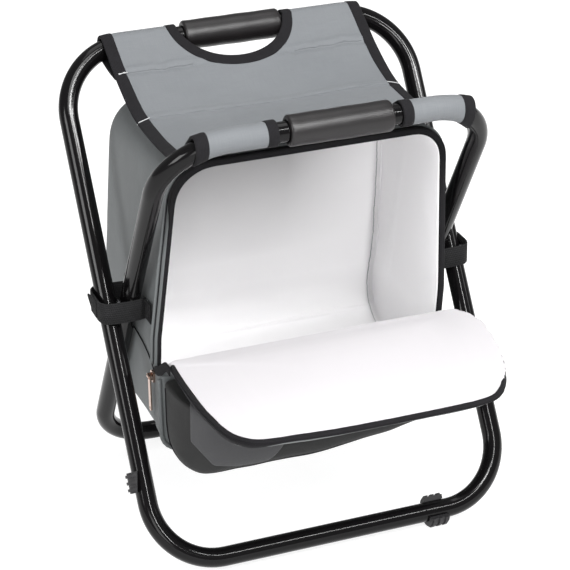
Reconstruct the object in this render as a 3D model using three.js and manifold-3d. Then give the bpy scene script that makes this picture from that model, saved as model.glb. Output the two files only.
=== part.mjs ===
// Folding cooler stool: two crossed loops of steel tube, a cloth seat slung between their top bars,
// and an insulated bag between the legs, with its padded front flap open.
// X is the stool's width, Y runs from the front (negative) to the back, Z is up, in millimetres.
// Everything is laid out around the pivot line of the two loops and moved to the floor at the end.
import * as THREE from 'three';
import { mergeVertices } from 'three/addons/utils/BufferGeometryUtils.js';
import Module from 'manifold-3d';

const wasm = await Module();
wasm.setup();

const degree = Math.PI / 180;

// Clearances
const seatGap = 0.3; // between two pieces that touch
const cutOverrun = 20; // a cut runs past its piece by this much

// Frame tubes
const tubeDiameter = 18;
const outerLoopWidth = 341; // between the centrelines of the outer legs
const legSideGap = 1.25; // air between an outer and an inner leg
const outerTopReach = 240; // pivot to top bar, along the leg
const outerBottomReach = 238.7;
const innerTopReach = 227.6;
const outerTopBend = 64.4;
const outerBottomBend = 60.8;
const innerTopBend = 61.7;
const innerBottomBend = 57.9;
const tubeButtGap = 0.5; // the two ends of a loop's tube, under its grip
const outerLean = 32.25 * degree;
const innerLean = 31.4 * degree;
const tubeSides = 16;
const bendSteps = 8;

// Pivots
const rivetDiameter = 6;
const rivetHeadDiameter = 13;
const outerHeadHeight = 0.9;
const innerHeadHeight = 0.9;
const washerDiameter = 15;

// Foam grips and cloth sleeves on the top bars
const gripLength = 95;
const gripDiameter = 27.5;
const gripEdgeRadius = 3;
const gripSides = 20;
const rearGripShift = -1;
const frontGripShift = 6.5;
const sleeveDiameter = 22.4;
const sleeveSpan = 255; // over the outer ends of a bar's two sleeves
const rearSeatShift = 0;
const frontSeatShift = 3.8;

// Seat cloth
const seatThickness = 1.8;
const seatBindingWidth = 10.5;
const bindingThickness = 2.8;
const seatSag = 35.6;
const seatEndGap = 0.9; // between a sleeve and the cloth's end
const rearCutoutWidth = 106; // also between the inner ends of the sleeves
const frontCutoutWidth = 115;
const rearCutoutShift = -3;
const frontCutoutShift = 5.5;
const cutoutDepth = 38; // from the bar's centre
const cutoutBindingWidth = 9;
// Places along the seat, as shares of its run from the rear bar to the front bar, and the sag there
const seatProfileShares = [
  [0, 0], [0.06, 0.2], [0.125, 0.39], [0.245, 0.72], [0.33, 0.89], [0.42, 0.98],
  [0.56, 1], [0.7, 0.97], [0.79, 0.86], [0.87, 0.62], [0.94, 0.32], [1, 0],
];

// Ribbed feet
const footLength = 18.6;
const footWall = 4.5;
const footRibHeight = 1.5;
const footRibWidth = 2.6;
const footFlat = 0.3; // worn off the ribs where they meet the floor
const footRibs = 3;
const barFootMouth = 115 * degree;
const legFootMouth = 150 * degree;
const barFootTurn = 34 * degree; // a floor clip's mouth, turned outwards from straight up
const legFootTurn = -46 * degree; // the leg clip's mouth, from the direction of +X
const legFootGap = 20.4; // from the middle of the leg clip to the start of the bend below it
const outerBarFootPlace = 98; // from the middle of the outer bottom bar
const innerBarFootPlace = 78;

// Cooler bag
const bagSideGap = 1.25; // air between the bag's sides and the inner legs
const bagTopDraw = 13.2; // each side draws in by this much at the top
const bagBottom = 117; // below the pivot line
const bagTaperStart = 14; // below the pivot line, where the sides start to draw in
const bagTopGap = 0.6; // between the bag and the lowest of the seat
const bagBack = 127; // behind the pivot line
const bagTopCorner = 34;
const bagBottomCorner = 16;
const bagBackEdge = 20;
const openingFront = 48.6; // the opening plane in front of the pivot line, at pivot height
const openingTilt = 8.8 * degree; // its top leans forward
const shellThickness = 1.6;
const insulationThickness = 5;
const liningThickness = 1;
const innerBackLean = 15.1 * degree; // the foam and the lining lean forwards at the back
const edgePipingDiameter = 3;
const pipingSetBack = 6; // behind the opening plane
const zipperTapeWidth = 4.8;
const zipperTapeThickness = 1.4;
const cornerSteps = 5;
const leastCorner = 3;

// Lid
const lidHingeDrop = 44; // below the pivot line
const lidLength = 195;
const lidHingeOverhang = 1; // past the bag's side, at each end of the hinge
const lidFarDrawIn = 6; // the free end is narrower by this much at each side
const lidThickness = 20; // at the rim
const lidCrown = 7; // of the inner face, over the rim
const lidLeftCorner = 46;
const lidRightCorner = 76;
const lidLiningThickness = 1.2;
const lidShellThickness = 1.4;
const lidSideDraw = 14; // the underside draws in by this much at each side
const lidFarDraw = 38; // and by this much at the free end
const lidHingeRound = 8; // the inner face stops this far from the hinge
const lidClosingGap = 0.8;
const lidCrownReach = 60; // from the rim to the flat of the crown
// The crown's rise, as shares of its reach and its height
const lidCrownShares = [[0, 0], [0.14, 0.07], [0.31, 0.5], [0.6, 0.85], [1, 1]];

// Lower front of the bag
const pocketDepth = 61; // of the front pocket, ahead of the lower panel
const pocketSideDraw = 9; // its sides draw in towards the front
const pocketFrontEdge = 7;
const pocketCorner = 11;
const pocketWaist = 2; // drawn in all round between its seams
// Places from the pocket's back to its front, as shares of its depth, its waist and its edge
const pocketRingShares = [[0, 1, 0], [0.35, 0.5, 0], [0.8, 1, 0], [0.94, 1, 0.3], [1, 0, 1]];
const patchWidth = 85;
const patchHeight = 62;
const patchThickness = 3.4;
const patchChamfer = 20;
const patchInset = 8; // from the pocket's left side
const lowerPipingDiameter = 3.4;

// Straps round the crossing of the legs
const strapWidth = 20;
const strapThickness = 1.4;
const leftStrapHalfDepth = 20.6;
const rightStrapHalfDepth = 17.7;
const leftStrapRise = 5; // above the pivot line
const rightStrapRise = 0;
const strapCorner = 8;

// Zipper slider and pull
const sliderWidth = 8.5;
const sliderHeight = 11;
const sliderThickness = 3.2;
const sliderEarThickness = 1.2;
const sliderDrop = 54; // below the pivot line
const pullPinDiameter = 1.6;
const pullBarrelDiameter = 4;
const pullWidth = 5.6;
const pullLength = 34;
const pullThickness = 1.3;
const pullHoleDiameter = 2.6;

// Places that follow from the sizes above
const tubeRadius = tubeDiameter / 2;
const outerHalf = outerLoopWidth / 2;
const innerHalf = outerHalf - tubeDiameter - legSideGap;
const innerBottomReach = outerBottomReach * Math.cos(outerLean) / Math.cos(innerLean);
const footRadius = tubeRadius + footWall + footRibHeight;
const pivotHeight = outerBottomReach * Math.cos(outerLean) + footRadius - footFlat;
const outerUp = new THREE.Vector3(0, Math.sin(outerLean), Math.cos(outerLean));
const innerUp = new THREE.Vector3(0, -Math.sin(innerLean), Math.cos(innerLean));
const rearBar = outerUp.clone().multiplyScalar(outerTopReach);
const frontBar = innerUp.clone().multiplyScalar(innerTopReach);
const openingSlope = Math.tan(openingTilt);
const bagHalfWidth = innerHalf - tubeRadius - bagSideGap;
const bagTopHalfWidth = bagHalfWidth - bagTopDraw;
const seatLowest = -1.5 * seatThickness + Math.min(...seatProfileShares.map(
  ([run, drop]) => THREE.MathUtils.lerp(rearBar.z, frontBar.z, run) - seatSag * drop));
const bagTop = seatLowest - bagTopGap; // above the pivot line
const legFootReach = outerBottomReach - outerBottomBend - legFootGap;
const lidHingeHalfWidth = bagHalfWidth + lidHingeOverhang;
const lidFarHalfWidth = lidHingeHalfWidth - lidFarDrawIn;
const openingY = (z) => -openingFront - openingSlope * z;
const lidHingeZ = -lidHingeDrop;
const lidStandOff = (lidThickness + zipperTapeThickness + lidClosingGap) / Math.cos(openingTilt);
const lidHingeY = openingY(lidHingeZ) - lidStandOff;
const frontReach = lidHingeY - lidLength;
const backReach = rearBar.y + gripDiameter / 2;
const originY = (frontReach + backReach) / 2;

const finishes = {
  paintedTube: { color: 0x141316, roughness: 0.22, metalness: 0.6 },
  zinc: { color: 0x8c8c90, roughness: 0.35, metalness: 0.9 },
  foam: { color: 0x3d393a, roughness: 0.75, metalness: 0 },
  seatCloth: { color: 0x94989c, roughness: 0.7, metalness: 0 },
  bagCloth: { color: 0x70757a, roughness: 0.72, metalness: 0 },
  tape: { color: 0x2a282b, roughness: 0.85, metalness: 0 },
  lining: { color: 0xe2e1e4, roughness: 0.45, metalness: 0 },
  insulation: { color: 0xd8d8d4, roughness: 0.9, metalness: 0 },
  rubber: { color: 0x2b2a2c, roughness: 0.8, metalness: 0 },
  webbing: { color: 0x313031, roughness: 0.85, metalness: 0 },
  copper: { color: 0xb98a6e, roughness: 0.3, metalness: 0.95 },
};

const stool = new THREE.Group();
stool.position.set(0, -originY, pivotHeight);

function add(name, geometry, finish, parent = stool) {
  const mesh = new THREE.Mesh(geometry, new THREE.MeshStandardMaterial(finishes[finish]));
  mesh.name = name;
  parent.add(mesh);
  return mesh;
}

function toSolid(geometry) {
  const plain = geometry.clone();
  plain.deleteAttribute('normal');
  plain.deleteAttribute('uv');
  const merged = mergeVertices(plain);
  return new wasm.Manifold(new wasm.Mesh({
    numProp: 3,
    vertProperties: new Float32Array(merged.attributes.position.array),
    triVerts: new Uint32Array(merged.index.array),
  }));
}

function toGeometry(solid) {
  const mesh = solid.getMesh();
  const geometry = new THREE.BufferGeometry();
  geometry.setAttribute('position', new THREE.BufferAttribute(mesh.vertProperties, 3));
  geometry.setIndex(new THREE.BufferAttribute(mesh.triVerts, 1));
  return geometry;
}

// A cap over an outline that faces along Y
function outlineCap(points) {
  return THREE.ShapeUtils.triangulateShape(points.map((p) => new THREE.Vector2(p.x, p.z)), []);
}

// A cap over a band whose second half runs back beside its first
function bandCap(points) {
  const last = points.length - 1;
  const triangles = [];
  for (let i = 0; i < (last - 1) / 2; i++) {
    triangles.push([i, i + 1, last - i], [i + 1, last - i - 1, last - i]);
  }
  return triangles;
}

// A closed solid through rings of equal point counts, capped at both ends
function loft(rings, cap = outlineCap(rings[0])) {
  const count = rings[0].length;
  const positions = rings.flat().flatMap((point) => [point.x, point.y, point.z]);
  const faces = [];
  for (let ring = 0; ring + 1 < rings.length; ring++) {
    for (let i = 0; i < count; i++) {
      const a = ring * count + i;
      const b = ring * count + (i + 1) % count;
      faces.push([a, b, a + count], [b, b + count, a + count]);
    }
  }
  const last = (rings.length - 1) * count;
  for (const [a, b, c] of cap) {
    faces.push([a, c, b], [last + a, last + b, last + c]);
  }
  const geometry = new THREE.BufferGeometry();
  geometry.setAttribute('position', new THREE.Float32BufferAttribute(positions, 3));
  geometry.setIndex(faces.flat());
  return facingOut(geometry);
}

// Turns the faces round where a solid's signed volume says that they point inwards
function facingOut(geometry) {
  const index = geometry.index.array;
  const point = (i) => new THREE.Vector3().fromBufferAttribute(geometry.attributes.position, i);
  let volume = 0;
  for (let i = 0; i < index.length; i += 3) {
    volume += point(index[i]).dot(point(index[i + 1]).cross(point(index[i + 2])));
  }
  if (volume < 0) {
    for (let i = 0; i < index.length; i += 3) {
      [index[i + 1], index[i + 2]] = [index[i + 2], index[i + 1]];
    }
  }
  return geometry;
}

// A polygon whose corners are rounded; each corner is { x, z, radius }
function roundedOutline(corners, steps = cornerSteps) {
  const outline = [];
  corners.forEach((corner, i) => {
    const here = new THREE.Vector2(corner.x, corner.z);
    if (!corner.radius) {
      outline.push(here);
      return;
    }
    const before = corners[(i + corners.length - 1) % corners.length];
    const after = corners[(i + 1) % corners.length];
    const back = new THREE.Vector2(before.x, before.z).sub(here).normalize();
    const ahead = new THREE.Vector2(after.x, after.z).sub(here).normalize();
    const half = Math.acos(THREE.MathUtils.clamp(back.dot(ahead), -1, 1)) / 2;
    const reach = corner.radius / Math.sin(half);
    const centre = back.clone().add(ahead).normalize().multiplyScalar(reach).add(here);
    const start = back.clone().multiplyScalar(corner.radius / Math.tan(half)).add(here).sub(centre);
    const turn = (Math.PI - 2 * half) * Math.sign(ahead.cross(back));
    for (let step = 0; step <= steps; step++) {
      outline.push(start.clone().rotateAround(new THREE.Vector2(), turn * step / steps).add(centre));
    }
  });
  return outline;
}

// The same corners, moved inwards by a distance; they run anticlockwise
function inset(corners, distance) {
  return corners.map((corner, i) => {
    const before = corners[(i + corners.length - 1) % corners.length];
    const after = corners[(i + 1) % corners.length];
    const arrive = new THREE.Vector2(corner.x - before.x, corner.z - before.z).normalize();
    const leave = new THREE.Vector2(after.x - corner.x, after.z - corner.z).normalize();
    const inwards = new THREE.Vector2(-arrive.y - leave.y, arrive.x + leave.x);
    inwards.multiplyScalar(distance / (1 + arrive.dot(leave)));
    const radius = corner.radius ? Math.max(corner.radius - distance, leastCorner) : 0;
    return { x: corner.x + inwards.x, z: corner.z + inwards.y, radius };
  });
}

// A path through chosen stations, one extrusion step to each
class StationPath extends THREE.Curve {
  constructor(stations) {
    super();
    this.stations = stations;
  }

  getPoint(t, target = new THREE.Vector3()) {
    const place = t * (this.stations.length - 1);
    const before = Math.min(Math.floor(place + 1e-6), this.stations.length - 2);
    return target.lerpVectors(this.stations[before], this.stations[before + 1], place - before);
  }

  getPointAt(u, target) {
    return this.getPoint(u, target);
  }

  getTangentAt(u, target = new THREE.Vector3()) {
    const here = Math.round(u * (this.stations.length - 1));
    const before = this.stations[Math.max(here - 1, 0)];
    const middle = this.stations[here];
    const after = this.stations[Math.min(here + 1, this.stations.length - 1)];
    const arrive = middle.clone().sub(before).normalize();
    return target.copy(after).sub(middle).normalize().add(arrive).normalize();
  }
}

function sweep(section, stations, sides) {
  return new THREE.ExtrudeGeometry(section, {
    steps: stations.length - 1,
    extrudePath: new StationPath(stations),
    curveSegments: sides / 2,
    bevelEnabled: false,
  });
}

function disc(radius) {
  return new THREE.Shape().absarc(0, 0, radius, 0, 2 * Math.PI, false);
}

function ring(outer, inner) {
  const shape = disc(outer);
  shape.holes.push(new THREE.Path().absarc(0, 0, inner, 0, 2 * Math.PI, true));
  return shape;
}

function cylinderAlongX(radius, from, to, sides = tubeSides) {
  const geometry = new THREE.CylinderGeometry(radius, radius, to - from, sides);
  geometry.rotateZ(-Math.PI / 2);
  return geometry.translate((from + to) / 2, 0, 0);
}

// Frame loops: rounded rectangles of tube that lean about the pivot line
const outerLoop = {
  up: outerUp, half: outerHalf, top: outerTopReach, bottom: outerBottomReach,
  topBend: outerTopBend, bottomBend: outerBottomBend,
};
const innerLoop = {
  up: innerUp, half: innerHalf, top: innerTopReach, bottom: innerBottomReach,
  topBend: innerTopBend, bottomBend: innerBottomBend,
};

function loopPoint(loop, x, along) {
  return loop.up.clone().multiplyScalar(along).setX(x);
}

function bendStations(loop, side, end, fromBar) {
  const radius = end > 0 ? loop.topBend : loop.bottomBend;
  const reach = end > 0 ? loop.top : loop.bottom;
  const stations = [];
  for (let step = 0; step <= bendSteps; step++) {
    const turn = (fromBar ? step : bendSteps - step) / bendSteps * Math.PI / 2;
    const x = side * (loop.half - radius + radius * Math.sin(turn));
    stations.push(loopPoint(loop, x, end * (reach - radius + radius * Math.cos(turn))));
  }
  return stations;
}

function loopStations(loop) {
  return [
    loopPoint(loop, tubeButtGap / 2, loop.top),
    ...bendStations(loop, 1, 1, true),
    ...bendStations(loop, 1, -1, false),
    ...bendStations(loop, -1, -1, true),
    ...bendStations(loop, -1, 1, false),
    loopPoint(loop, -tubeButtGap / 2, loop.top),
  ];
}

function loopTube(loop) {
  const tube = toSolid(sweep(disc(tubeRadius), loopStations(loop), tubeSides));
  const reach = outerHalf + cutOverrun;
  const hole = toSolid(cylinderAlongX(rivetDiameter / 2 + seatGap, -reach, reach));
  return toGeometry(tube.subtract(hole));
}

add('outer_frame_tube', loopTube(outerLoop), 'paintedTube');
add('inner_frame_tube', loopTube(innerLoop), 'paintedTube');

// Rivets through both legs, and the washer between them; side is -1 on the left
function pivotSet(side, label) {
  const outerFace = outerHalf + tubeRadius + seatGap;
  const innerFace = innerHalf - tubeRadius - seatGap;
  const shank = rivetDiameter / 2;
  const head = rivetHeadDiameter / 2;
  const profile = [
    [0, innerFace - innerHeadHeight], [head - innerHeadHeight, innerFace - innerHeadHeight],
    [head, innerFace], [shank, innerFace], [shank, outerFace], [head, outerFace],
    [head - outerHeadHeight / 2, outerFace + outerHeadHeight / 2],
    [head - outerHeadHeight, outerFace + outerHeadHeight], [0, outerFace + outerHeadHeight],
  ];
  const rivet = new THREE.LatheGeometry(profile.map(([r, along]) => new THREE.Vector2(r, along)), tubeSides);
  const washer = new THREE.LatheGeometry([
    [shank + seatGap, innerHalf + tubeRadius + seatGap],
    [washerDiameter / 2, innerHalf + tubeRadius + seatGap],
    [washerDiameter / 2, outerHalf - tubeRadius - seatGap],
    [shank + seatGap, outerHalf - tubeRadius - seatGap],
    [shank + seatGap, innerHalf + tubeRadius + seatGap],
  ].map(([r, along]) => new THREE.Vector2(r, along)), tubeSides);
  for (const geometry of [rivet, washer]) {
    geometry.rotateZ(-side * Math.PI / 2);
  }
  add(`pivot_rivet_${label}`, rivet, 'zinc');
  add(`pivot_washer_${label}`, washer, 'zinc');
}

pivotSet(-1, 'left');
pivotSet(1, 'right');

// Foam grips
function grip(name, bar, shift) {
  const bore = tubeRadius + seatGap;
  const outer = gripDiameter / 2;
  const half = gripLength / 2;
  const profile = [
    [bore, -half], [outer - gripEdgeRadius, -half], [outer - gripEdgeRadius / 3, -half + gripEdgeRadius / 3],
    [outer, -half + gripEdgeRadius], [outer, half - gripEdgeRadius],
    [outer - gripEdgeRadius / 3, half - gripEdgeRadius / 3], [outer - gripEdgeRadius, half],
    [bore, half], [bore, -half],
  ];
  const points = profile.map(([r, along]) => new THREE.Vector2(r, along));
  const geometry = new THREE.LatheGeometry(points, gripSides);
  geometry.rotateZ(-Math.PI / 2);
  add(name, geometry, 'foam').position.set(shift, bar.y, bar.z);
}

grip('rear_grip', rearBar, rearGripShift);
grip('front_grip', frontBar, frontGripShift);

// The centre of a loop's top bar at a place across it, round its bends too
function topPoint(loop, x) {
  const side = Math.sign(x) || 1;
  const stations = [loopPoint(loop, 0, loop.top), ...bendStations(loop, side, 1, true)];
  const beyond = stations.findIndex((station) => side * station.x > side * x);
  const before = stations[beyond - 1];
  return before.clone().lerp(stations[beyond], (x - before.x) / (stations[beyond].x - before.x));
}

// Cloth sleeves round the bars, which follow the start of each bend
function sleeve(name, loop, side, cutout, shift) {
  const from = cutout.width / 2 + side * cutout.shift;
  const to = sleeveSpan / 2 + side * shift;
  const bend = bendStations(loop, side, 1, true).filter((station) => side * station.x < to);
  const stations = [topPoint(loop, side * from), ...bend, topPoint(loop, side * to)];
  add(name, sweep(ring(sleeveDiameter / 2, tubeRadius + seatGap), stations, tubeSides), 'seatCloth');
}

const rearCutout = { name: 'rear', bar: rearBar, width: rearCutoutWidth, shift: rearCutoutShift };
const frontCutout = { name: 'front', bar: frontBar, width: frontCutoutWidth, shift: frontCutoutShift };
sleeve('rear_sleeve_left', outerLoop, -1, rearCutout, rearSeatShift);
sleeve('rear_sleeve_right', outerLoop, 1, rearCutout, rearSeatShift);
sleeve('front_sleeve_left', innerLoop, -1, frontCutout, frontSeatShift);
sleeve('front_sleeve_right', innerLoop, 1, frontCutout, frontSeatShift);

// Seat cloth from sleeve to sleeve; a slab between two widths, as thick as asked
const seatStandOff = sleeveDiameter / 2 + seatEndGap;
const seatColumnShares = [0, 0.04, 0.08, 0.13, 0.5, 0.87, 0.92, 0.96, 1];

function seatPoint(x, share, sagShare) {
  const rear = topPoint(outerLoop, x + rearSeatShift);
  const front = topPoint(innerLoop, x + frontSeatShift);
  const y = THREE.MathUtils.lerp(rear.y - seatStandOff, front.y + seatStandOff, share);
  const level = THREE.MathUtils.lerp(rearBar.z, frontBar.z, share);
  const droop = THREE.MathUtils.lerp(rear.z, front.z, share) - level;
  const z = level + droop * (1 - sagShare) - seatSag * sagShare - seatThickness;
  return new THREE.Vector3(THREE.MathUtils.lerp(rear.x, front.x, share), y, z);
}

function seatSlab(fromX, toX, thickness) {
  const rings = seatProfileShares.map(([share, sagShare]) => {
    const row = seatColumnShares.map(
      (place) => seatPoint(THREE.MathUtils.lerp(fromX, toX, place), share, sagShare));
    const face = (up) => row.map((point) => point.clone().setZ(point.z + up * thickness / 2));
    return [...face(-1), ...face(1).toReversed()];
  });
  return loft(rings, bandCap(rings[0]));
}

function cutoutPrism({ bar, width, shift }, widen) {
  const ellipse = new THREE.Shape();
  ellipse.absellipse(shift, bar.y, width / 2 + widen, cutoutDepth + widen, 0, 2 * Math.PI, false);
  const depth = seatSag + cutOverrun;
  const geometry = new THREE.ExtrudeGeometry(ellipse, {
    depth: 2 * depth, curveSegments: 14, bevelEnabled: false,
  });
  return toSolid(geometry.translate(0, 0, bar.z - depth));
}

const seatHalf = sleeveSpan / 2;
const clothHalf = seatHalf - seatBindingWidth;
let seatCloth = toSolid(seatSlab(-clothHalf + seatGap, clothHalf - seatGap, seatThickness));
const seatTape = toSolid(seatSlab(-clothHalf, clothHalf, bindingThickness));
for (const cutout of [rearCutout, frontCutout]) {
  seatCloth = seatCloth.subtract(cutoutPrism(cutout, cutoutBindingWidth + seatGap));
  const band = seatTape.intersect(cutoutPrism(cutout, cutoutBindingWidth));
  add(`${cutout.name}_cutout_binding`, toGeometry(band.subtract(cutoutPrism(cutout, 0))), 'tape');
}
add('seat_panel', toGeometry(seatCloth), 'seatCloth');
add('seat_binding_left', seatSlab(-seatHalf, -clothHalf, bindingThickness), 'tape');
add('seat_binding_right', seatSlab(clothHalf, seatHalf, bindingThickness), 'tape');

// Ribbed feet: open clips along the X axis, mouth upwards
function footClip(mouth) {
  const bore = tubeRadius + seatGap;
  const arc = (outer) => {
    const start = Math.PI / 2 + mouth / 2;
    const end = Math.PI / 2 - mouth / 2 + 2 * Math.PI;
    const shape = new THREE.Shape().absarc(0, 0, outer, start, end, false);
    shape.absarc(0, 0, bore, end, start, true);
    return shape;
  };
  const slab = (outer, from, length) => toSolid(
    new THREE.ExtrudeGeometry(arc(outer), { depth: length, curveSegments: 14, bevelEnabled: false })
      .translate(0, 0, from));
  let clip = slab(tubeRadius + footWall, -footLength / 2, footLength);
  for (let rib = 0; rib < footRibs; rib++) {
    const middle = ((rib + 0.5) / footRibs - 0.5) * footLength;
    clip = clip.add(slab(footRadius, middle - footRibWidth / 2, footRibWidth));
  }
  const geometry = toGeometry(clip);
  geometry.rotateX(Math.PI / 2);
  return geometry.rotateZ(Math.PI / 2);
}

// A clip on a bottom bar has its mouth turned up and out, and its ribs are worn flat on the floor
function barFoot(name, loop, x) {
  const facing = Math.sign(loop.up.y);
  const clip = toSolid(footClip(barFootMouth).rotateX(facing * barFootTurn));
  const wornSize = 2 * footRadius;
  const worn = new THREE.BoxGeometry(footLength + cutOverrun, wornSize, wornSize);
  worn.translate(0, 0, -footRadius + footFlat - wornSize / 2);
  const foot = add(name, toGeometry(clip.subtract(toSolid(worn))), 'rubber');
  foot.position.copy(loopPoint(loop, x, -loop.bottom));
}

barFoot('outer_foot_right', outerLoop, outerBarFootPlace);
barFoot('inner_foot_left', innerLoop, -innerBarFootPlace);
barFoot('inner_foot_right', innerLoop, innerBarFootPlace);

// The left front clip sits on the leg, above the bend, mouth forwards
const legFoot = add('outer_foot_left', footClip(legFootMouth), 'rubber');
legFoot.geometry.rotateY(Math.PI / 2);
legFoot.geometry.rotateZ(legFootTurn);
legFoot.rotation.x = -outerLean;
legFoot.position.copy(loopPoint(outerLoop, -outerHalf, -legFootReach));

// Cooler bag: three nested layers, open at the tilted front
const bagCorners = [
  { x: -bagHalfWidth, z: -bagBottom, radius: bagBottomCorner },
  { x: bagHalfWidth, z: -bagBottom, radius: bagBottomCorner },
  { x: bagHalfWidth, z: -bagTaperStart, radius: 0 },
  { x: bagTopHalfWidth, z: bagTop, radius: bagTopCorner },
  { x: -bagTopHalfWidth, z: bagTop, radius: bagTopCorner },
  { x: -bagHalfWidth, z: -bagTaperStart, radius: 0 },
];

// The bag's outside moved inwards by a depth, with its back leaning forwards by a slope; a cavity also
// runs out through the opening
function bagBlock(depth, slope, runOut = 0) {
  const at = (distance, place) => roundedOutline(inset(bagCorners, distance)).map(
    (point) => new THREE.Vector3(point.x, place(point.y), point.y));
  const rings = [at(depth, (z) => openingY(z) - runOut)];
  const edge = bagBackEdge;
  for (const turn of [0, 30, 60, 90]) {
    const draw = edge * (1 - Math.cos(turn * degree));
    const back = bagBack - depth - edge * (1 - Math.sin(turn * degree));
    rings.push(at(depth + draw, (z) => back - slope * (z + bagBottom)));
  }
  return toSolid(loft(rings));
}

function bagLayer(name, depth, thickness, finish, lean = 0) {
  const slope = Math.tan(lean);
  const layer = bagBlock(depth, slope).subtract(bagBlock(depth + thickness, slope, cutOverrun));
  add(name, toGeometry(layer), finish);
  return depth + thickness + seatGap;
}

const insulationDepth = bagLayer('bag_outer_shell', 0, shellThickness, 'bagCloth');
const liningDepth = bagLayer(
  'bag_insulation', insulationDepth, insulationThickness, 'insulation', innerBackLean);
bagLayer('bag_lining', liningDepth, liningThickness, 'lining', innerBackLean);

// The part of an outline above a height, from its right foot over the top to its left foot
function archOutline(corners, lowest) {
  const outline = roundedOutline(corners);
  const arch = [];
  outline.forEach((point, i) => {
    const next = outline[(i + 1) % outline.length];
    if (point.y >= lowest) {
      arch.push(point);
    }
    if (point.y < lowest !== next.y < lowest) {
      arch.push(point.clone().lerp(next, (lowest - point.y) / (next.y - point.y)));
    }
  });
  return arch;
}

// A flat band between two arches, laid on the front of the opening plane
function archBand(outerArch, innerArch, from, to) {
  const rim = [...outerArch, ...innerArch.toReversed()];
  const rings = [from, to].map((ahead) => rim.map(
    (point) => new THREE.Vector3(point.x, openingY(point.y) - ahead / Math.cos(openingTilt), point.y)));
  return loft(rings, bandCap(rim));
}

const tapeLowest = lidHingeZ + seatGap;
const tapeOuter = archOutline(bagCorners, tapeLowest);
const tapeInner = archOutline(inset(bagCorners, zipperTapeWidth), tapeLowest);
add('body_zipper_tape', archBand(tapeOuter, tapeInner, seatGap, zipperTapeThickness), 'tape');

// Lower front panel, from the opening plane to the lid's hinge line
const panelTop = lidHingeZ - seatGap;
const panelCorners = [
  { x: -bagHalfWidth, z: -bagBottom, radius: bagBottomCorner },
  { x: bagHalfWidth, z: -bagBottom, radius: bagBottomCorner },
  { x: bagHalfWidth, z: panelTop, radius: 0 },
  { x: -bagHalfWidth, z: panelTop, radius: 0 },
];
const panelFront = lidHingeY;
const panelOutline = roundedOutline(panelCorners);
add('lower_front_panel', loft([
  panelOutline.map((point) => new THREE.Vector3(point.x, openingY(point.y) - seatGap, point.y)),
  panelOutline.map((point) => new THREE.Vector3(point.x, panelFront, point.y)),
]), 'bagCloth');

// Front pocket, full in front of the lower panel
const pocketCorners = panelCorners.map((corner) => ({
  ...corner, z: corner.z > -bagTaperStart ? corner.z - seatGap : corner.z, radius: pocketCorner,
}));

function pocketRing(depthShare, draw) {
  const y = panelFront - seatGap - (pocketDepth - seatGap) * depthShare;
  return roundedOutline(inset(pocketCorners, draw)).map((point) => new THREE.Vector3(point.x, y, point.y));
}

const pocketRings = pocketRingShares.map(([depthShare, waistShare, edgeShare]) => pocketRing(
  depthShare, pocketWaist * waistShare + pocketFrontEdge * edgeShare));
for (const point of pocketRings.flat()) {
  const forward = (panelFront - point.y) / pocketDepth;
  point.x -= Math.sign(point.x) * pocketSideDraw * forward;
}
add('front_pocket', loft(pocketRings), 'bagCloth');

// Patch pocket on the left of the front pocket's face, with chamfered lower corners
const patchLeft = -bagHalfWidth + pocketSideDraw + patchInset;
const patchTop = panelTop - patchInset;
const patchOutline = new THREE.Shape([
  [patchLeft, patchTop], [patchLeft, patchTop - patchHeight + patchChamfer],
  [patchLeft + patchChamfer, patchTop - patchHeight],
  [patchLeft + patchWidth - patchChamfer / 2, patchTop - patchHeight],
  [patchLeft + patchWidth, patchTop - patchHeight + patchChamfer / 2], [patchLeft + patchWidth, patchTop],
].map(([x, z]) => new THREE.Vector2(x, z)));
const patch = new THREE.ExtrudeGeometry(patchOutline, { depth: patchThickness, bevelEnabled: false });
patch.rotateX(Math.PI / 2);
add('patch_pocket', patch, 'seatCloth').position.y = panelFront - pocketDepth - seatGap;

// Piping down the front edges of the side panels and round under the lower panel
const pipingPath = (corners, lowest, ahead) => archOutline(corners, lowest).map(
  (point) => new THREE.Vector3(point.x, openingY(point.y) + ahead, point.y));
const pipingOut = edgePipingDiameter / 2 + seatGap;
const pipingCorners = inset(bagCorners, -pipingOut);
add('edge_piping', sweep(disc(edgePipingDiameter / 2),
  pipingPath(pipingCorners, lidHingeZ, pipingSetBack), 8), 'bagCloth');

const lowerPipingOut = lowerPipingDiameter / 2 + seatGap;
const lowerPipingCorners = inset(panelCorners, -lowerPipingOut);
const lowerPiping = roundedOutline(lowerPipingCorners.map((corner) => ({
  ...corner, radius: corner.z < panelTop - bagTaperStart ? bagBottomCorner + lowerPipingOut : 0,
})));
const lowerPipingStations = lowerPiping.map((point) => new THREE.Vector3(
  point.x, panelFront + lowerPipingDiameter, Math.min(point.y, panelTop - lowerPipingDiameter)));
lowerPipingStations.unshift(lowerPipingStations.pop());
add('lower_piping', sweep(disc(lowerPipingDiameter / 2), lowerPipingStations, 8), 'bagCloth');

// Lid: laid out in its open position, level, reaching forwards from the hinge line
const lid = new THREE.Group();
lid.position.set(0, lidHingeY, lidHingeZ);
stool.add(lid);

// Corners in the lid's plane, x across and z forwards from the hinge; the draw share is 1 at the
// underside and 0 at the rim
function lidCorners(drawShare, fromHinge) {
  const side = lidSideDraw * drawShare;
  const far = lidLength - lidFarDraw * drawShare;
  const near = THREE.MathUtils.lerp(lidHingeHalfWidth, lidFarHalfWidth, fromHinge / far);
  return [
    { x: -near + side, z: fromHinge, radius: 0 },
    { x: near - side, z: fromHinge, radius: 0 },
    { x: lidFarHalfWidth - side, z: far, radius: lidRightCorner },
    { x: -lidFarHalfWidth + side, z: far, radius: lidLeftCorner },
  ];
}

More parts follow.
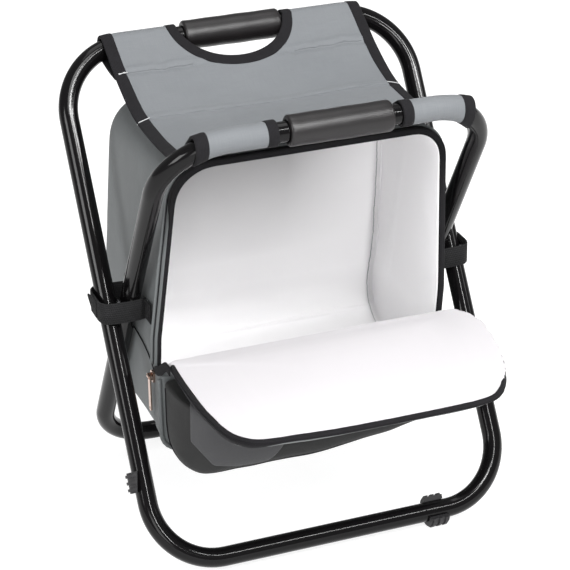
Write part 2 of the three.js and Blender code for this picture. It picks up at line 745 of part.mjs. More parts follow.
function lidRing(drawShare, distance, height, fromHinge = 0) {
  return roundedOutline(inset(lidCorners(drawShare, fromHinge), distance)).map(
    (point) => new THREE.Vector3(point.x, height, point.y));
}

// Lofted standing, so that the caps face along Y, and then laid down
function lidLoft(...rings) {
  return loft(rings).rotateX(Math.PI / 2);
}

const tapeFoot = lidThickness - zipperTapeWidth;
const lidTop = lidThickness - lidLiningThickness - seatGap;
const lidOutside = toSolid(lidLoft(lidRing(1, 0, 0), lidRing(0, 0, tapeFoot)));
const lidInside = toSolid(lidLoft(
  lidRing(1, lidShellThickness, lidShellThickness),
  lidRing(0, lidShellThickness, tapeFoot),
  lidRing(0, lidShellThickness, tapeFoot + cutOverrun)));
add('lid_shell', toGeometry(lidOutside.subtract(lidInside)), 'bagCloth', lid);
const paddingInset = lidShellThickness + 2 * seatGap;

// The crowned inner face, from its rim at a height to the flat in its middle
function lidDome(rimHeight) {
  return lidCrownShares.map(([reachShare, riseShare]) => lidRing(
    0, paddingInset + lidCrownReach * reachShare, rimHeight + lidCrown * riseShare, lidHingeRound));
}

add('lid_padding', lidLoft(
  lidRing(1, paddingInset, lidShellThickness + seatGap),
  lidRing(0, paddingInset, tapeFoot + seatGap),
  ...lidDome(lidTop)), 'insulation', lid);
add('lid_lining', lidLoft(...lidDome(lidTop + seatGap).toReversed(), ...lidDome(lidThickness)), 'lining', lid);
const lidTape = toSolid(lidLoft(lidRing(0, 0, tapeFoot + seatGap), lidRing(0, 0, lidThickness)));
const tapeHole = toSolid(lidLoft(
  lidRing(0, zipperTapeThickness, tapeFoot - seatGap, -cutOverrun),
  lidRing(0, zipperTapeThickness, lidThickness + cutOverrun, -cutOverrun)));
add('lid_zipper_tape', toGeometry(lidTape.subtract(tapeHole)), 'tape', lid);

// Straps round each crossing; both ends of a strap are sewn to the bag's side
function strap(name, side, halfDepth, rise) {
  const outer = outerHalf + tubeRadius + outerHeadHeight + 2 * seatGap;
  const inner = bagHalfWidth + seatGap;
  const outline = (grow, reachIn) => roundedOutline([
    { x: reachIn, z: -halfDepth - grow, radius: 0 },
    { x: outer + grow, z: -halfDepth - grow, radius: strapCorner + grow },
    { x: outer + grow, z: halfDepth + grow, radius: strapCorner + grow },
    { x: reachIn, z: halfDepth + grow, radius: 0 },
  ]);
  const shape = new THREE.Shape([...outline(strapThickness, inner), ...outline(0, inner).toReversed()]);
  const geometry = new THREE.ExtrudeGeometry(shape, { depth: strapWidth, bevelEnabled: false });
  geometry.translate(0, 0, -strapWidth / 2);
  add(name, side > 0 ? geometry : geometry.rotateZ(Math.PI), 'webbing').position.z = rise;
}

strap('side_strap_left', -1, leftStrapHalfDepth, leftStrapRise);
strap('side_strap_right', 1, rightStrapHalfDepth, rightStrapRise);

// Zipper slider at the lower left end of the zipper, and its pull, which hangs from a cross pin
const slider = new THREE.Group();
slider.position.set(-bagHalfWidth - seatGap, openingY(-sliderDrop), -sliderDrop);
stool.add(slider);

const sliderOutline = roundedOutline([
  { x: -sliderWidth / 2, z: -sliderHeight / 2, radius: sliderWidth / 4 },
  { x: sliderWidth / 2, z: -sliderHeight / 2, radius: sliderWidth / 4 },
  { x: sliderWidth / 2, z: sliderHeight / 2, radius: sliderWidth / 3 },
  { x: -sliderWidth / 2, z: sliderHeight / 2, radius: sliderWidth / 3 },
]);
const pinOut = -sliderThickness - seatGap - pullBarrelDiameter / 2;
const earReach = -pinOut + sliderEarThickness;
const earPlace = pullWidth / 2 + seatGap + sliderEarThickness / 2;

function plateFacingX(outline, thickness, holes = []) {
  const shape = new THREE.Shape(outline);
  shape.holes.push(...holes);
  const geometry = new THREE.ExtrudeGeometry(shape, {
    depth: thickness, bevelEnabled: false, curveSegments: 6,
  });
  geometry.rotateX(Math.PI / 2);
  return geometry.rotateZ(-Math.PI / 2);
}

let sliderBody = toSolid(plateFacingX(sliderOutline, sliderThickness));
for (const side of [-1, 1]) {
  const ear = new THREE.BoxGeometry(earReach, sliderEarThickness, pullBarrelDiameter);
  ear.translate(-earReach / 2, side * earPlace, 0);
  sliderBody = sliderBody.add(toSolid(ear));
}
const pin = new THREE.CylinderGeometry(pullPinDiameter / 2, pullPinDiameter / 2, 2 * earPlace, 8);
pin.translate(pinOut, 0, 0);
add('zipper_slider', toGeometry(sliderBody.add(toSolid(pin))), 'copper', slider);

const barrel = new THREE.ExtrudeGeometry(ring(pullBarrelDiameter / 2, pullPinDiameter / 2 + seatGap), {
  depth: pullWidth, bevelEnabled: false, curveSegments: 6,
});
barrel.translate(0, 0, -pullWidth / 2).rotateX(Math.PI / 2);
const pullTop = -pullBarrelDiameter / 2 + seatGap;
const pullPlate = plateFacingX(roundedOutline([
  { x: -pullWidth / 2, z: -pullLength, radius: pullWidth / 3 },
  { x: pullWidth / 2, z: -pullLength, radius: pullWidth / 3 },
  { x: pullWidth / 2, z: pullTop, radius: 0 },
  { x: -pullWidth / 2, z: pullTop, radius: 0 },
]), pullThickness, [
  new THREE.Path().absarc(0, -pullLength + pullWidth / 2, pullHoleDiameter / 2, 0, 2 * Math.PI, true),
]);
pullPlate.translate(pullThickness / 2, 0, 0);
const pull = add('zipper_pull', toGeometry(toSolid(barrel).add(toSolid(pullPlate))), 'copper', slider);
pull.position.x = pinOut;

export default stool;
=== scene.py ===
import math
import bmesh
import bpy
import numpy as np
from mathutils import Matrix, Vector, noise
from mathutils.bvhtree import BVHTree


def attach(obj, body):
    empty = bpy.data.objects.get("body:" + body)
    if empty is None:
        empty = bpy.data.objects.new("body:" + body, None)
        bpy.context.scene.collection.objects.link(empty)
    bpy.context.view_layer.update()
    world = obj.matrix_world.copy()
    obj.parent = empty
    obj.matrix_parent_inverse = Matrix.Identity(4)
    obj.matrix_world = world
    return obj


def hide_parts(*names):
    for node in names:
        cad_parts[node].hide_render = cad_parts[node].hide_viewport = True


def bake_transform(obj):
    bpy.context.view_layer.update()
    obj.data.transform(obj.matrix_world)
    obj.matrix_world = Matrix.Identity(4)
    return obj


# A folding stool with a cooler bag between its crossed legs, front flap open.
# Shapes are worked out in mm from the pivot line of the legs: x across, y back, z up.
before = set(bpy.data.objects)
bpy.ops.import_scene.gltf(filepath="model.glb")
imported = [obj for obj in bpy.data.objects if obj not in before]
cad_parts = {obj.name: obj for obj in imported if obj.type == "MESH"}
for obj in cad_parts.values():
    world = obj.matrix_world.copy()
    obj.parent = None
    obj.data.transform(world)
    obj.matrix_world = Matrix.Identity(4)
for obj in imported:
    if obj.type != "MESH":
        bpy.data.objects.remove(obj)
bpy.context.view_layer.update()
scene = bpy.context.scene
print("frame loaded")

stand = {"pivotBack": 58.718, "pivotHeight": 216.575}  # the legs' pivot line: behind the middle, above the floor

camera = {"place": (-0.67084, -1.68756, 1.08793), "azimuth": -21.12, "elevation": 24.84, "roll": -0.85,
          "lens": 140.51, "shift": (-0.00458, -0.02168), "clip": (0.05, 60)}

azimuth, elevation, roll = (math.radians(camera[key]) for key in ("azimuth", "elevation", "roll"))
lookBack = Vector((math.sin(azimuth) * math.cos(elevation), -math.cos(azimuth) * math.cos(elevation),
                   math.sin(elevation)))
levelRight = Vector((math.cos(azimuth), math.sin(azimuth), 0))
levelUp = lookBack.cross(levelRight)
camRight = levelRight * math.cos(roll) + levelUp * math.sin(roll)
camUp = levelUp * math.cos(roll) - levelRight * math.sin(roll)
camObject = bpy.data.objects.new("photoCamera", bpy.data.cameras.new("photoCamera"))
scene.collection.objects.link(camObject)
camObject.matrix_world = Matrix((camRight, camUp, lookBack)).transposed().to_4x4()
camObject.location = camera["place"]
camObject.data.lens = camera["lens"]
camObject.data.shift_x, camObject.data.shift_y = camera["shift"]
camObject.data.clip_start, camObject.data.clip_end = camera["clip"]
scene.camera = camObject

studioLoss = 0.66  # a surface's own colour, as a share of how light it looks in this studio


def asLight(level):  # a level from 0 to 255, as seen, into an amount of light
    return ((level / 255 + 0.055) / 1.055) ** 2.4 if level > 10 else level / 255 / 12.92


def paint(red, green, blue, share=studioLoss):
    return tuple(share * asLight(level) for level in (red, green, blue)) + (1,)


class Wire:  # an output socket that takes Python arithmetic
    def __init__(self, finish, socket):
        self.finish, self.socket = finish, socket

    def maths(self, operation, first, second):
        return self.finish.node("ShaderNodeMath", {"operation": operation}, {0: first, 1: second})

    def __add__(self, other):
        return self.maths("ADD", self, other)

    def __mul__(self, other):
        return self.maths("MULTIPLY", self, other)

    def __sub__(self, other):
        return self.maths("SUBTRACT", self, other)

    def __rsub__(self, other):
        return self.maths("SUBTRACT", other, self)

    __radd__, __rmul__ = __add__, __mul__


class Finish:  # a material being wired
    def __init__(self, name, **fixed):
        self.material = bpy.data.materials.new(name)
        self.material.use_nodes = True
        self.tree = self.material.node_tree
        self.shader = self.tree.nodes["Principled BSDF"]
        for key, value in fixed.items():
            self.shader.inputs[key.replace("_", " ")].default_value = value

    def feed(self, socket, value):
        if isinstance(value, Wire):
            self.tree.links.new(value.socket, socket)
        else:
            socket.default_value = value

    def node(self, kind, settings, sockets, output=0):
        made = self.tree.nodes.new(kind)
        for key, value in settings.items():
            setattr(made, key, value)
        for key, value in sockets.items():
            self.feed(made.inputs[key], value)
        return Wire(self, made.outputs[output])

    def set(self, **sockets):
        for key, value in sockets.items():
            self.feed(self.shader.inputs[key.replace("_", " ")], value)
        return self.material

    def place(self):
        return self.node("ShaderNodeTexCoord", {}, {}, "Object")

    def cloth(self):
        return self.node("ShaderNodeUVMap", {}, {})

    def parts(self, vector):
        split = self.tree.nodes.new("ShaderNodeSeparateXYZ")
        self.feed(split.inputs[0], vector)
        return [Wire(self, out) for out in split.outputs]

    def vector(self, x, y, z):
        return self.node("ShaderNodeCombineXYZ", {}, {0: x, 1: y, 2: z})

    def speckle(self, vector, scale, detail=2.0, rough=0.5):
        return self.node("ShaderNodeTexNoise", {},
                         {"Vector": vector, "Scale": scale, "Detail": detail, "Roughness": rough})

    def window(self, value, low, high):
        return self.node("ShaderNodeMapRange", {}, {0: value, 1: low, 2: high})

    def mix(self, factor, first, second):
        return self.node("ShaderNodeMix", {"data_type": "RGBA"}, {0: factor, 6: first, 7: second}, 2)

    def bump(self, height, distance, strength=1.0, under=None):
        sockets = {"Height": height, "Distance": distance, "Strength": strength}
        if under:
            sockets["Normal"] = under
        return self.node("ShaderNodeBump", {}, sockets)

    def wave(self, value, pitch):
        return self.node("ShaderNodeMath", {"operation": "SINE"}, {0: value * (2 * math.pi / pitch)})

    def weave(self, vector, pitch):  # over and under threads, 0 to 1
        across, along, _ = self.parts(vector)
        return self.wave(across, pitch) * self.wave(along, pitch) * 0.5 + 0.5


clothGrain = {"pitch": 0.0011, "depth": 0.00022, "folds": 0.0006, "thin": 1400, "long": 60}  # m, and slubs to 1 m


def cutCloth(name, colour, lighter, roughness, sheen=0.08):
    made = Finish(name, Sheen_Weight=sheen, Sheen_Roughness=0.5, Specular_IOR_Level=0.3)
    uv, place = made.cloth(), made.place()
    threads = made.weave(uv, clothGrain["pitch"])
    across, along, _ = made.parts(uv)
    slubs = made.speckle(made.vector(across * clothGrain["long"], along * clothGrain["thin"], 0.0), 1.0)
    slubs = slubs + made.speckle(made.vector(across * clothGrain["thin"], along * clothGrain["long"], 1.0), 1.0)
    cloudy = made.speckle(place, 14.0, 3.0)
    shade = made.window(threads * 0.28 + slubs * 0.3 + cloudy * 0.36, 0.3, 0.85)
    under = made.bump(made.speckle(place, 38.0, 3.0, 0.55), clothGrain["folds"])
    return made.set(Base_Color=made.mix(shade, colour, lighter), Roughness=threads * 0.06 + roughness,
                    Normal=made.bump(threads * 0.7 + slubs * 0.5, clothGrain["depth"], 0.6, under))


def wovenBlack(name, colour, lighter, pitch, depth):
    made = Finish(name, Sheen_Weight=0.02, Sheen_Roughness=0.4, Specular_IOR_Level=0.15)
    uv = made.cloth()
    across, along, _ = made.parts(uv)
    ribs = made.wave(across, pitch) * 0.5 + 0.5
    picks = made.wave(along, pitch * 0.8) * made.wave(across, pitch * 2) * 0.5 + 0.5
    lint = made.speckle(made.place(), 160.0, 4.0)
    shade = made.window(ribs * 0.35 + picks * 0.35 + lint * 0.5, 0.3, 1.0)
    return made.set(Base_Color=made.mix(shade, colour, lighter), Roughness=0.8 + lint * 0.15,
                    Normal=made.bump(ribs * 0.5 + picks, depth, 0.8))


# Painted shade on the lining, where the bag's top and walls shade it, in metres: (no grey, full grey) by height, from
# the middle to the right, and at the floor
paintedShadeAt = {"top": (0.2, 0.37), "across": (0.13, 0.03), "floor": (0.17, 0.11), "floorShare": 0.3}


def whiteFilm(name, colour, lighter, roughness, wrinkle, paintedShade=None):
    made = Finish(name, Specular_IOR_Level=0.45, Coat_Roughness=0.3)
    place = made.place()
    broad = made.speckle(place, 16.0, 2.0, 0.4)
    fine = made.speckle(place, 900.0, 2.0)
    shade = made.mix(broad, colour, lighter)
    # painted shade: the lining greys towards its top and upper left, and a little at its floor
    if paintedShade:
        across, _, height = made.parts(place)
        shade = made.mix(made.window(height, *paintedShadeAt["top"]) * made.window(across, *paintedShadeAt["across"]), shade, paintedShade)
        shade = made.mix(made.window(height, *paintedShadeAt["floor"]) * paintedShadeAt["floorShare"], shade, paintedShade)
    return made.set(Base_Color=shade, Roughness=roughness + broad * 0.12 + fine * 0.04,
                    Coat_Weight=0.06 + broad * 0.08,
                    Normal=made.bump(fine, 0.00006, 0.5, made.bump(broad, wrinkle, 0.7)))


def paintedSteel():
    made = Finish("glossBlackPaint", Specular_IOR_Level=0.15, Coat_Roughness=0.04)
    place = made.place()
    peel = made.speckle(place, 420.0, 2.0)
    smudge = made.speckle(place, 9.0, 4.0, 0.6)
    worn = made.window(made.speckle(place, 70.0, 8.0, 0.75), 0.7, 0.76)  # rubbed through in specks
    _, _, height = made.parts(place)
    low = 1 - made.window(height, 0.02, 0.09)  # more of them near the floor
    return made.set(Base_Color=made.mix(worn * (0.35 + low * 0.4), paint(15, 14, 15), paint(66, 63, 62)),
                    Roughness=0.09 + smudge * 0.08 + worn * 0.25, Coat_Weight=0.18 - smudge * 0.1,
                    Normal=made.bump(peel, 0.00004, 0.5))


def foamRubber():
    made = Finish("foamGrip", Specular_IOR_Level=0.4)
    place = made.place()
    pores = made.node("ShaderNodeTexVoronoi", {}, {"Vector": place, "Scale": 1500.0})
    cloudy = made.speckle(place, 35.0, 3.0)
    skinned = made.speckle(place, 500.0, 2.0)
    return made.set(Base_Color=made.mix(cloudy * 0.6 + pores * 0.4, paint(20, 18, 19), paint(36, 33, 34)),
                    Roughness=0.3 + cloudy * 0.1, Normal=made.bump(pores + skinned * 0.6, 0.00012, 0.6))


def moulded(name, colour, lighter, roughness):
    made = Finish(name, Specular_IOR_Level=0.4)
    place = made.place()
    grain = made.speckle(place, 900.0, 3.0)
    cloudy = made.speckle(place, 60.0, 3.0)
    return made.set(Base_Color=made.mix(cloudy, colour, lighter), Roughness=roughness + grain * 0.2 - 0.1,
                    Normal=made.bump(grain, 0.00012, 0.6))


def metal(name, colour, darker, roughness):
    made = Finish(name, Metallic=1.0)
    place = made.place()
    rubbed = made.speckle(place, 260.0, 5.0, 0.6)
    brushed = made.speckle(made.node("ShaderNodeMapping", {}, {"Vector": place, "Scale": (3000, 3000, 160)}), 1.0)
    return made.set(Base_Color=made.mix(rubbed, darker, colour), Roughness=roughness + brushed * 0.15,
                    Normal=made.bump(brushed, 0.00003, 0.5))


materials = {
    "steel": paintedSteel(),
    "zinc": metal("zincPlate", paint(170, 170, 174, 1), paint(110, 110, 114, 1), 0.25),
    "copper": metal("copperPlate", paint(222, 198, 184, 1), paint(158, 130, 116, 1), 0.16),
    "foam": foamRubber(),
    "rubber": moulded("rubberFoot", paint(33, 32, 34), paint(52, 51, 53), 0.6),
    "seat": cutCloth("seatOxford", paint(110, 114, 118), paint(131, 134, 137), 0.6),
    "bag": cutCloth("bagOxford", paint(100, 104, 105), paint(124, 128, 129), 0.62),
    # painted shade: the pocket's cloth is darkened to stand for the lid's shadow over it
    "pocket": cutCloth("pocketOxfordPaintedShade", paint(39, 39, 39), paint(53, 53, 53), 0.7, sheen=0.02),
    "patch": cutCloth("patchOxford", paint(68, 68, 70), paint(87, 87, 89), 0.62),
    "tape": wovenBlack("bindingTape", paint(23, 22, 24), paint(41, 40, 43), 0.0013, 0.00025),
    "webbing": wovenBlack("webbing", paint(24, 24, 25), paint(50, 50, 51), 0.0021, 0.0004),
    # the lining's grey towards its top and its floor is painted shade
    "lining": whiteFilm("weldedLiningPaintedShade", paint(248, 247, 248, 1), paint(252, 251, 252, 1), 0.34, 0.0022,
                        paintedShade=paint(96, 96, 97, 1)),
    "lidLining": whiteFilm("padLining", paint(250, 247, 250, 0.57), paint(253, 250, 253, 0.57), 0.42, 0.0008),
    "thread": cutCloth("sewingThread", paint(196, 197, 198), paint(226, 227, 228), 0.7),
}
print("materials wired")

pivot = np.array((0, stand["pivotBack"], stand["pivotHeight"]))


def settle(points):  # mm from the pivot line into metres on the stool
    return (np.asarray(points, float) + pivot) / 1000


def unsettle(points):  # and back
    return np.asarray(points, float) * 1000 - pivot


def vertexPlaces(mesh):
    return np.array([v.co for v in mesh.vertices])


def drift(x, y, z):  # smooth noise, about -1 to 1
    return noise.noise(Vector((x, y, z)))


def clamped(value):
    return min(1, max(0, value))


def selectOnly(piece):
    if bpy.context.object and bpy.context.object.mode != "OBJECT":
        bpy.ops.object.mode_set(mode="OBJECT")
    bpy.ops.object.select_all(action="DESELECT")
    piece.select_set(True)
    bpy.context.view_layer.objects.active = piece


def shaped(piece, *steps):  # edit-mode operators, each run with the whole mesh selected
    selectOnly(piece)
    bpy.ops.object.mode_set(mode="EDIT")
    for operator, settings in steps:
        bpy.ops.mesh.select_all(action="SELECT")
        operator(**settings)
    bpy.ops.object.mode_set(mode="OBJECT")


def withModifier(piece, kind, **settings):
    selectOnly(piece)
    modifier = piece.modifiers.new(kind.title(), kind)
    for key, value in settings.items():
        setattr(modifier, key, value)
    bpy.ops.object.modifier_apply(modifier=modifier.name)


def rounded(piece, wall=None):  # a subdivided skin, given a wall inwards first where it needs one
    if wall:
        withModifier(piece, "SOLIDIFY", thickness=wall / 1000, offset=-1)
    withModifier(piece, "SUBSURF", levels=1, render_levels=1)


def meshPiece(name, points, faces, finish, corners=None):
    mesh = bpy.data.meshes.new(name)
    mesh.from_pydata(points.tolist(), [], faces)
    mesh.materials.append(materials[finish])
    if corners is not None:
        layer = mesh.uv_layers.new(name="UVMap")
        layer.data.foreach_set("uv", np.asarray(corners, np.float32).ravel())
    piece = bpy.data.objects.new(name, mesh)
    scene.collection.objects.link(piece)
    shape = bmesh.new()
    shape.from_mesh(mesh)
    bmesh.ops.recalc_face_normals(shape, faces=shape.faces)
    shape.to_mesh(mesh)
    shape.free()
    mesh.shade_smooth()
    return piece


# Quads from ring to ring, with a UV map in metres of cloth
def skin(name, rings, finish, around=True, along=False, capped=False, keep=None):
    rings = np.asarray(rings, float)
    count, size = rings.shape[:2]
    columns, rows = (size if around else size - 1), (count if along else count - 1)
    nextColumn = np.roll(rings, -1, axis=1)
    nextRow = np.roll(rings, -1, axis=0)
    across = np.concatenate(([0], np.cumsum(np.linalg.norm(nextColumn - rings, axis=2).mean(axis=0)))) / 1000
    run = np.concatenate(([0], np.cumsum(np.linalg.norm(nextRow - rings, axis=2).mean(axis=1)))) / 1000
    faces, corners = [], []
    for i in range(rows):
        for j in range(columns):
            if keep is not None and not keep[i][j]:
                continue
            i2, j2 = (i + 1) % count, (j + 1) % size
            faces.append((i * size + j, i * size + j2, i2 * size + j2, i2 * size + j))
            left, right, low, high = across[j], across[j + 1], run[i], run[i + 1]
            corners += [(left, low), (right, low), (right, high), (left, high)]
    for i, turn in ((0, -1), (count - 1, 1)):
        if capped is True or (capped == "end" and i):
            faces.append(tuple(i * size + j for j in range(size))[::turn])
            corners += [(across[j], run[i]) for j in range(size)][::turn]
    piece = meshPiece(name, settle(rings.reshape(-1, 3)), faces, finish, corners)
    if keep is not None:
        shape = bmesh.new()
        shape.from_mesh(piece.data)
        bmesh.ops.delete(shape, geom=[v for v in shape.verts if not v.link_faces], context="VERTS")
        shape.to_mesh(piece.data)
        shape.free()
    return piece


def unit(vectors):
    vectors = np.asarray(vectors, float)
    return vectors / np.maximum(np.linalg.norm(vectors, axis=-1, keepdims=True), 1e-9)


# A flat section swept along a path: across lies in the section's width, out along its thickness
def ribbon(name, path, out, section, finish, closed=False, across=None):
    path = np.asarray(path, float)
    out = np.broadcast_to(unit(out), path.shape)
    ahead = np.roll(path, -1, axis=0) - np.roll(path, 1, axis=0)
    if not closed:
        ahead[0], ahead[-1] = path[1] - path[0], path[-1] - path[-2]
    across = unit(np.cross(unit(ahead), out) if across is None else across)
    rings = [[place + a * side + o * face for a, o in section] for place, side, face in zip(path, across, out)]
    return skin(name, rings, finish, along=closed, capped=not closed)


def smoothPath(points, step, closed=False):
    points = np.asarray(points, float)
    count = len(points)
    made = []
    for i in range(count if closed else count - 1):
        if closed:
            p0, p1, p2, p3 = (points[(i + k) % count] for k in (-1, 0, 1, 2))
        else:
            p0, p1, p2, p3 = points[max(i - 1, 0)], points[i], points[i + 1], points[min(i + 2, count - 1)]
        pieces = max(1, round(np.linalg.norm(p2 - p1) / step))
        for t in np.arange(pieces) / pieces:
            made.append(0.5 * (2 * p1 + (p2 - p0) * t + (2 * p0 - 5 * p1 + 4 * p2 - p3) * t * t
                               + (3 * p1 - p0 - 3 * p2 + p3) * t ** 3))
    if not closed:
        made.append(points[-1])
    return np.array(made)


def roundSection(radius, sides=12):
    turns = [2 * math.pi * k / sides for k in range(sides)]
    return [(radius * math.cos(turn), radius * math.sin(turn)) for turn in turns]


def sewnLine(name, path, out, radius, finish, sides=8, across=None):  # a thin round thread, cord or piping
    return ribbon(name, path, out, roundSection(radius, sides), finish, across=across)


def flatSection(thick, wide, edge):  # a strip with rounded edges
    side, half = thick / 2, wide / 2
    return [(-side, -half + edge), (-side + edge, -half), (0, -half * 1.04), (side - edge, -half), (side, -half + edge),
            (side, half - edge), (side - edge, half), (0, half * 1.04), (-side + edge, half), (-side, half - edge)]


def carried(piece, body, slot=None, stands=()):
    if stands:
        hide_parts(*stands)
    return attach(piece, body)


tube = {"radius": 9, "sides": 32, "bendStep": 3}
outerLoop = {"half": 170.5, "top": 240, "bottom": 238.7, "topBend": 64.4, "bottomBend": 60.8,
             "lean": math.radians(32.25), "way": 1}
innerLoop = {"half": 151.25, "top": 227.6, "topBend": 61.7, "bottomBend": 57.9,
             "lean": math.radians(31.4), "way": -1}
innerLoop["bottom"] = outerLoop["bottom"] * math.cos(outerLoop["lean"]) / math.cos(innerLoop["lean"])
for loop in (outerLoop, innerLoop):
    loop["up"] = np.array((0, loop["way"] * math.sin(loop["lean"]), math.cos(loop["lean"])))
    loop["face"] = np.array((0, -loop["way"] * math.cos(loop["lean"]), math.sin(loop["lean"])))
    loop["bar"] = loop["up"] * loop["top"]


def loopPath(loop):
    points = []
    for side, end in ((1, 1), (1, -1), (-1, -1), (-1, 1)):
        bend = loop["topBend"] if end > 0 else loop["bottomBend"]
        reach = loop["top"] if end > 0 else loop["bottom"]
        turns = range(0, 91, tube["bendStep"])
        if side * end < 0:
            turns = reversed(turns)
        for turn in turns:  # 0 at the bar's end, 90 at the leg's
            a = math.radians(turn)
            points.append(np.array((side * (loop["half"] - bend + bend * math.sin(a)), 0, 0))
                          + loop["up"] * end * (reach - bend + bend * math.cos(a)))
    return smoothPath(points, 30, closed=True)


for loop, body in ((outerLoop, "outer_frame"), (innerLoop, "inner_frame")):
    section = roundSection(tube["radius"], tube["sides"])
    piece = ribbon(body + "_bent_tube", loopPath(loop), loop["face"], section, "steel", closed=True)
    carried(piece, body, "tube", [body + "_tube"])
print("tubes bent")

nodeFinish = {"pivot": "zinc", "foot": "rubber", "zipper_slider": "copper", "zipper_pull": "copper"}
for name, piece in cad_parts.items():
    piece.data.materials.clear()
    piece.data.materials.append(materials[next((nodeFinish[word] for word in nodeFinish if word in name), "foam")])

# The leg's foot covers the outer side of the tube alone, so its copy is cut along a plane and closed
legFoot = {"side": (0.934, -0.358, 0), "reach": -4.2, "merge": 0.00001}
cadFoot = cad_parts["outer_foot_left"]
shoe = bpy.data.objects.new("left_leg_shoe", cadFoot.data.copy())
scene.collection.objects.link(shoe)
shoe.matrix_world = cadFoot.matrix_world.copy()
selectOnly(shoe)
bpy.ops.object.transform_apply(location=True, rotation=True, scale=True)
legMiddle = settle((-outerLoop["half"], 0, 0))
onAxis = legMiddle + outerLoop["up"] * ((vertexPlaces(shoe.data).mean(axis=0) - legMiddle) @ outerLoop["up"])
cutPlane = {"plane_co": onAxis + np.array(legFoot["side"]) * legFoot["reach"] / 1000, "plane_no": legFoot["side"]}
shaped(shoe, (bpy.ops.mesh.remove_doubles, {"threshold": legFoot["merge"]}),
       (bpy.ops.mesh.bisect, {**cutPlane, "use_fill": True, "clear_outer": True}),
       (bpy.ops.mesh.normals_make_consistent, {"inside": False}))
carried(shoe, "outer_frame", "rubber", ["outer_foot_left"])

grip = {"length": 95, "radius": 13.75, "bore": 9.2, "edge": 2.6, "sides": 48, "rearShift": -1, "frontShift": 6.5,
        "merge": 0.00005}


def foamGrip(name, loop, shift, body, node):  # a sleeve of foam, slightly uneven, open along its bore
    half, radius, edge = grip["length"] / 2, grip["radius"], grip["edge"]
    profile = [(-half + 0.6, grip["bore"]), (-half - 0.1, (grip["bore"] + radius - edge) / 2)]
    for a in np.radians((90, 67, 45, 22, 0)):
        profile.append((-half + edge * (1 - math.sin(a)), radius - edge * (1 - math.cos(a))))
    for x in np.linspace(-half + 9, half - 9, 16):
        profile.append((x, radius + 0.12 * math.sin(x * 0.21) + 0.1 * math.sin(x * 0.077 + 1)))
    profile += [(-x, r) for x, r in profile[:7][::-1]]
    rings = []
    for x, r in profile:
        rings.append([loop["bar"] + (shift + x, 0, 0)
                      + np.array((0, math.cos(a), math.sin(a))) * (r + 0.1 * math.sin(3 * a + x * 0.05))
                      for a in np.linspace(0, 2 * math.pi, grip["sides"], endpoint=False)])
    piece = skin(name, rings + [rings[0]], "foam")
    shaped(piece, (bpy.ops.mesh.remove_doubles, {"threshold": grip["merge"]}),
           (bpy.ops.mesh.normals_make_consistent, {"inside": False}))
    carried(piece, body, "foam", [node])


foamGrip("rear_foam_grip", outerLoop, grip["rearShift"], "outer_frame", "rear_grip")
foamGrip("front_foam_grip", innerLoop, grip["frontShift"], "inner_frame", "front_grip")
print("grips turned")

# Seat cloth: one sheet that wraps each bar and is sewn to itself beneath
seat = {"half": 127.5, "wrap": 10.4, "thick": 1.2, "rearShift": 0, "frontShift": 3.8, "step": 11, "ply": 8,
        "columns": ((-127.5, -30, 46), (-28, 28, 20), (30, 127.5, 46)), "thread": 0.42,
        "bandWidth": 10.5, "bandThick": 2.7,
        "rear": {"width": 106, "shift": -3}, "front": {"width": 115, "shift": 5.5}, "depth": 38, "cutBand": 9,
        "cutMargin": 3.5, "cutRows": 26, "rearCrease": 88.5, "middleCrease": 30, "sideLift": 0.05, "plyDrop": 2.3,
        "calm": {"side": 14, "rows": 8, "cut": 1.12, "fade": 0.3}, "barSink": 0.42, "barGap": 0.8,
        "rearLeave": 33, "frontLeave": 43, "rearUnder": -189, "frontUnder": -197, "rearSeam": 40, "frontSeam": 32,
        "hang": [(39.9, -13.4), (66.6, -26.6), (85.5, -33.3), (105.5, -36.6), (136.7, -37.4), (167.8, -36.3),
                 (187.8, -32.2), (205.6, -23.2)]}


def barRing(loop, x, turn, radius):  # an upright ring round a top bar; turn is 0 on top, 90 towards the seat
    bend = loop["topBend"]
    over = max(0, abs(x) - loop["half"] + bend)
    level = math.sqrt(bend ** 2 - over ** 2)
    sunk = bend - level
    high = radius - seat["barSink"] * sunk
    low = max(radius, sunk + tube["radius"] * bend / level + seat["barGap"])
    a = math.radians(turn) + loop["lean"]
    return (loop["bar"] + (x, 0, 0) + loop["up"] * ((high - low) / 2 + (high + low) / 2 * math.cos(a))
            + loop["face"] * radius * math.sin(a))


def hangCurve():  # the seat's sag between the bars: how far along, how high, and the distance from the rear bar
    rearY, frontY = outerLoop["bar"][1], innerLoop["bar"][1]
    span = rearY - frontY
    a, b = math.radians(seat["rearLeave"]), math.radians(seat["frontLeave"])
    points = [(seat["wrap"] * math.sin(a), seat["wrap"] * math.cos(a)), (20, -0.5)] + seat["hang"]
    points += [(span - 21, -5.6), (span - seat["wrap"] * math.sin(b), seat["wrap"] * math.cos(b))]
    way = smoothPath([(d, h, 0) for d, h in points], 2.0)[:, :2]
    share = (way[:, 0] - way[0, 0]) / (way[-1, 0] - way[0, 0])
    return share, way[:, 1], way[:, 0], rearY, span


hangShare, hangHeight, hangRun, rearY, barSpan = hangCurve()
rearSeam = int(np.argmin(abs(hangRun - seat["rearSeam"])))
frontSeam = int(np.argmin(abs(barSpan - hangRun - seat["frontSeam"])))
rearTurns = np.arange(seat["rearUnder"], seat["rearLeave"], seat["step"])
frontTurns = np.arange(seat["frontUnder"], seat["frontLeave"], seat["step"])


def underPly(seam, bottom):  # from the seam under the seat to the bar's underside
    start = seam - (0, 0, seat["plyDrop"])
    shares = np.arange(seat["ply"]) / seat["ply"]
    return [start + (bottom - start) * t - (0, 0, 1.0 * math.sin(math.pi * t)) for t in shares]


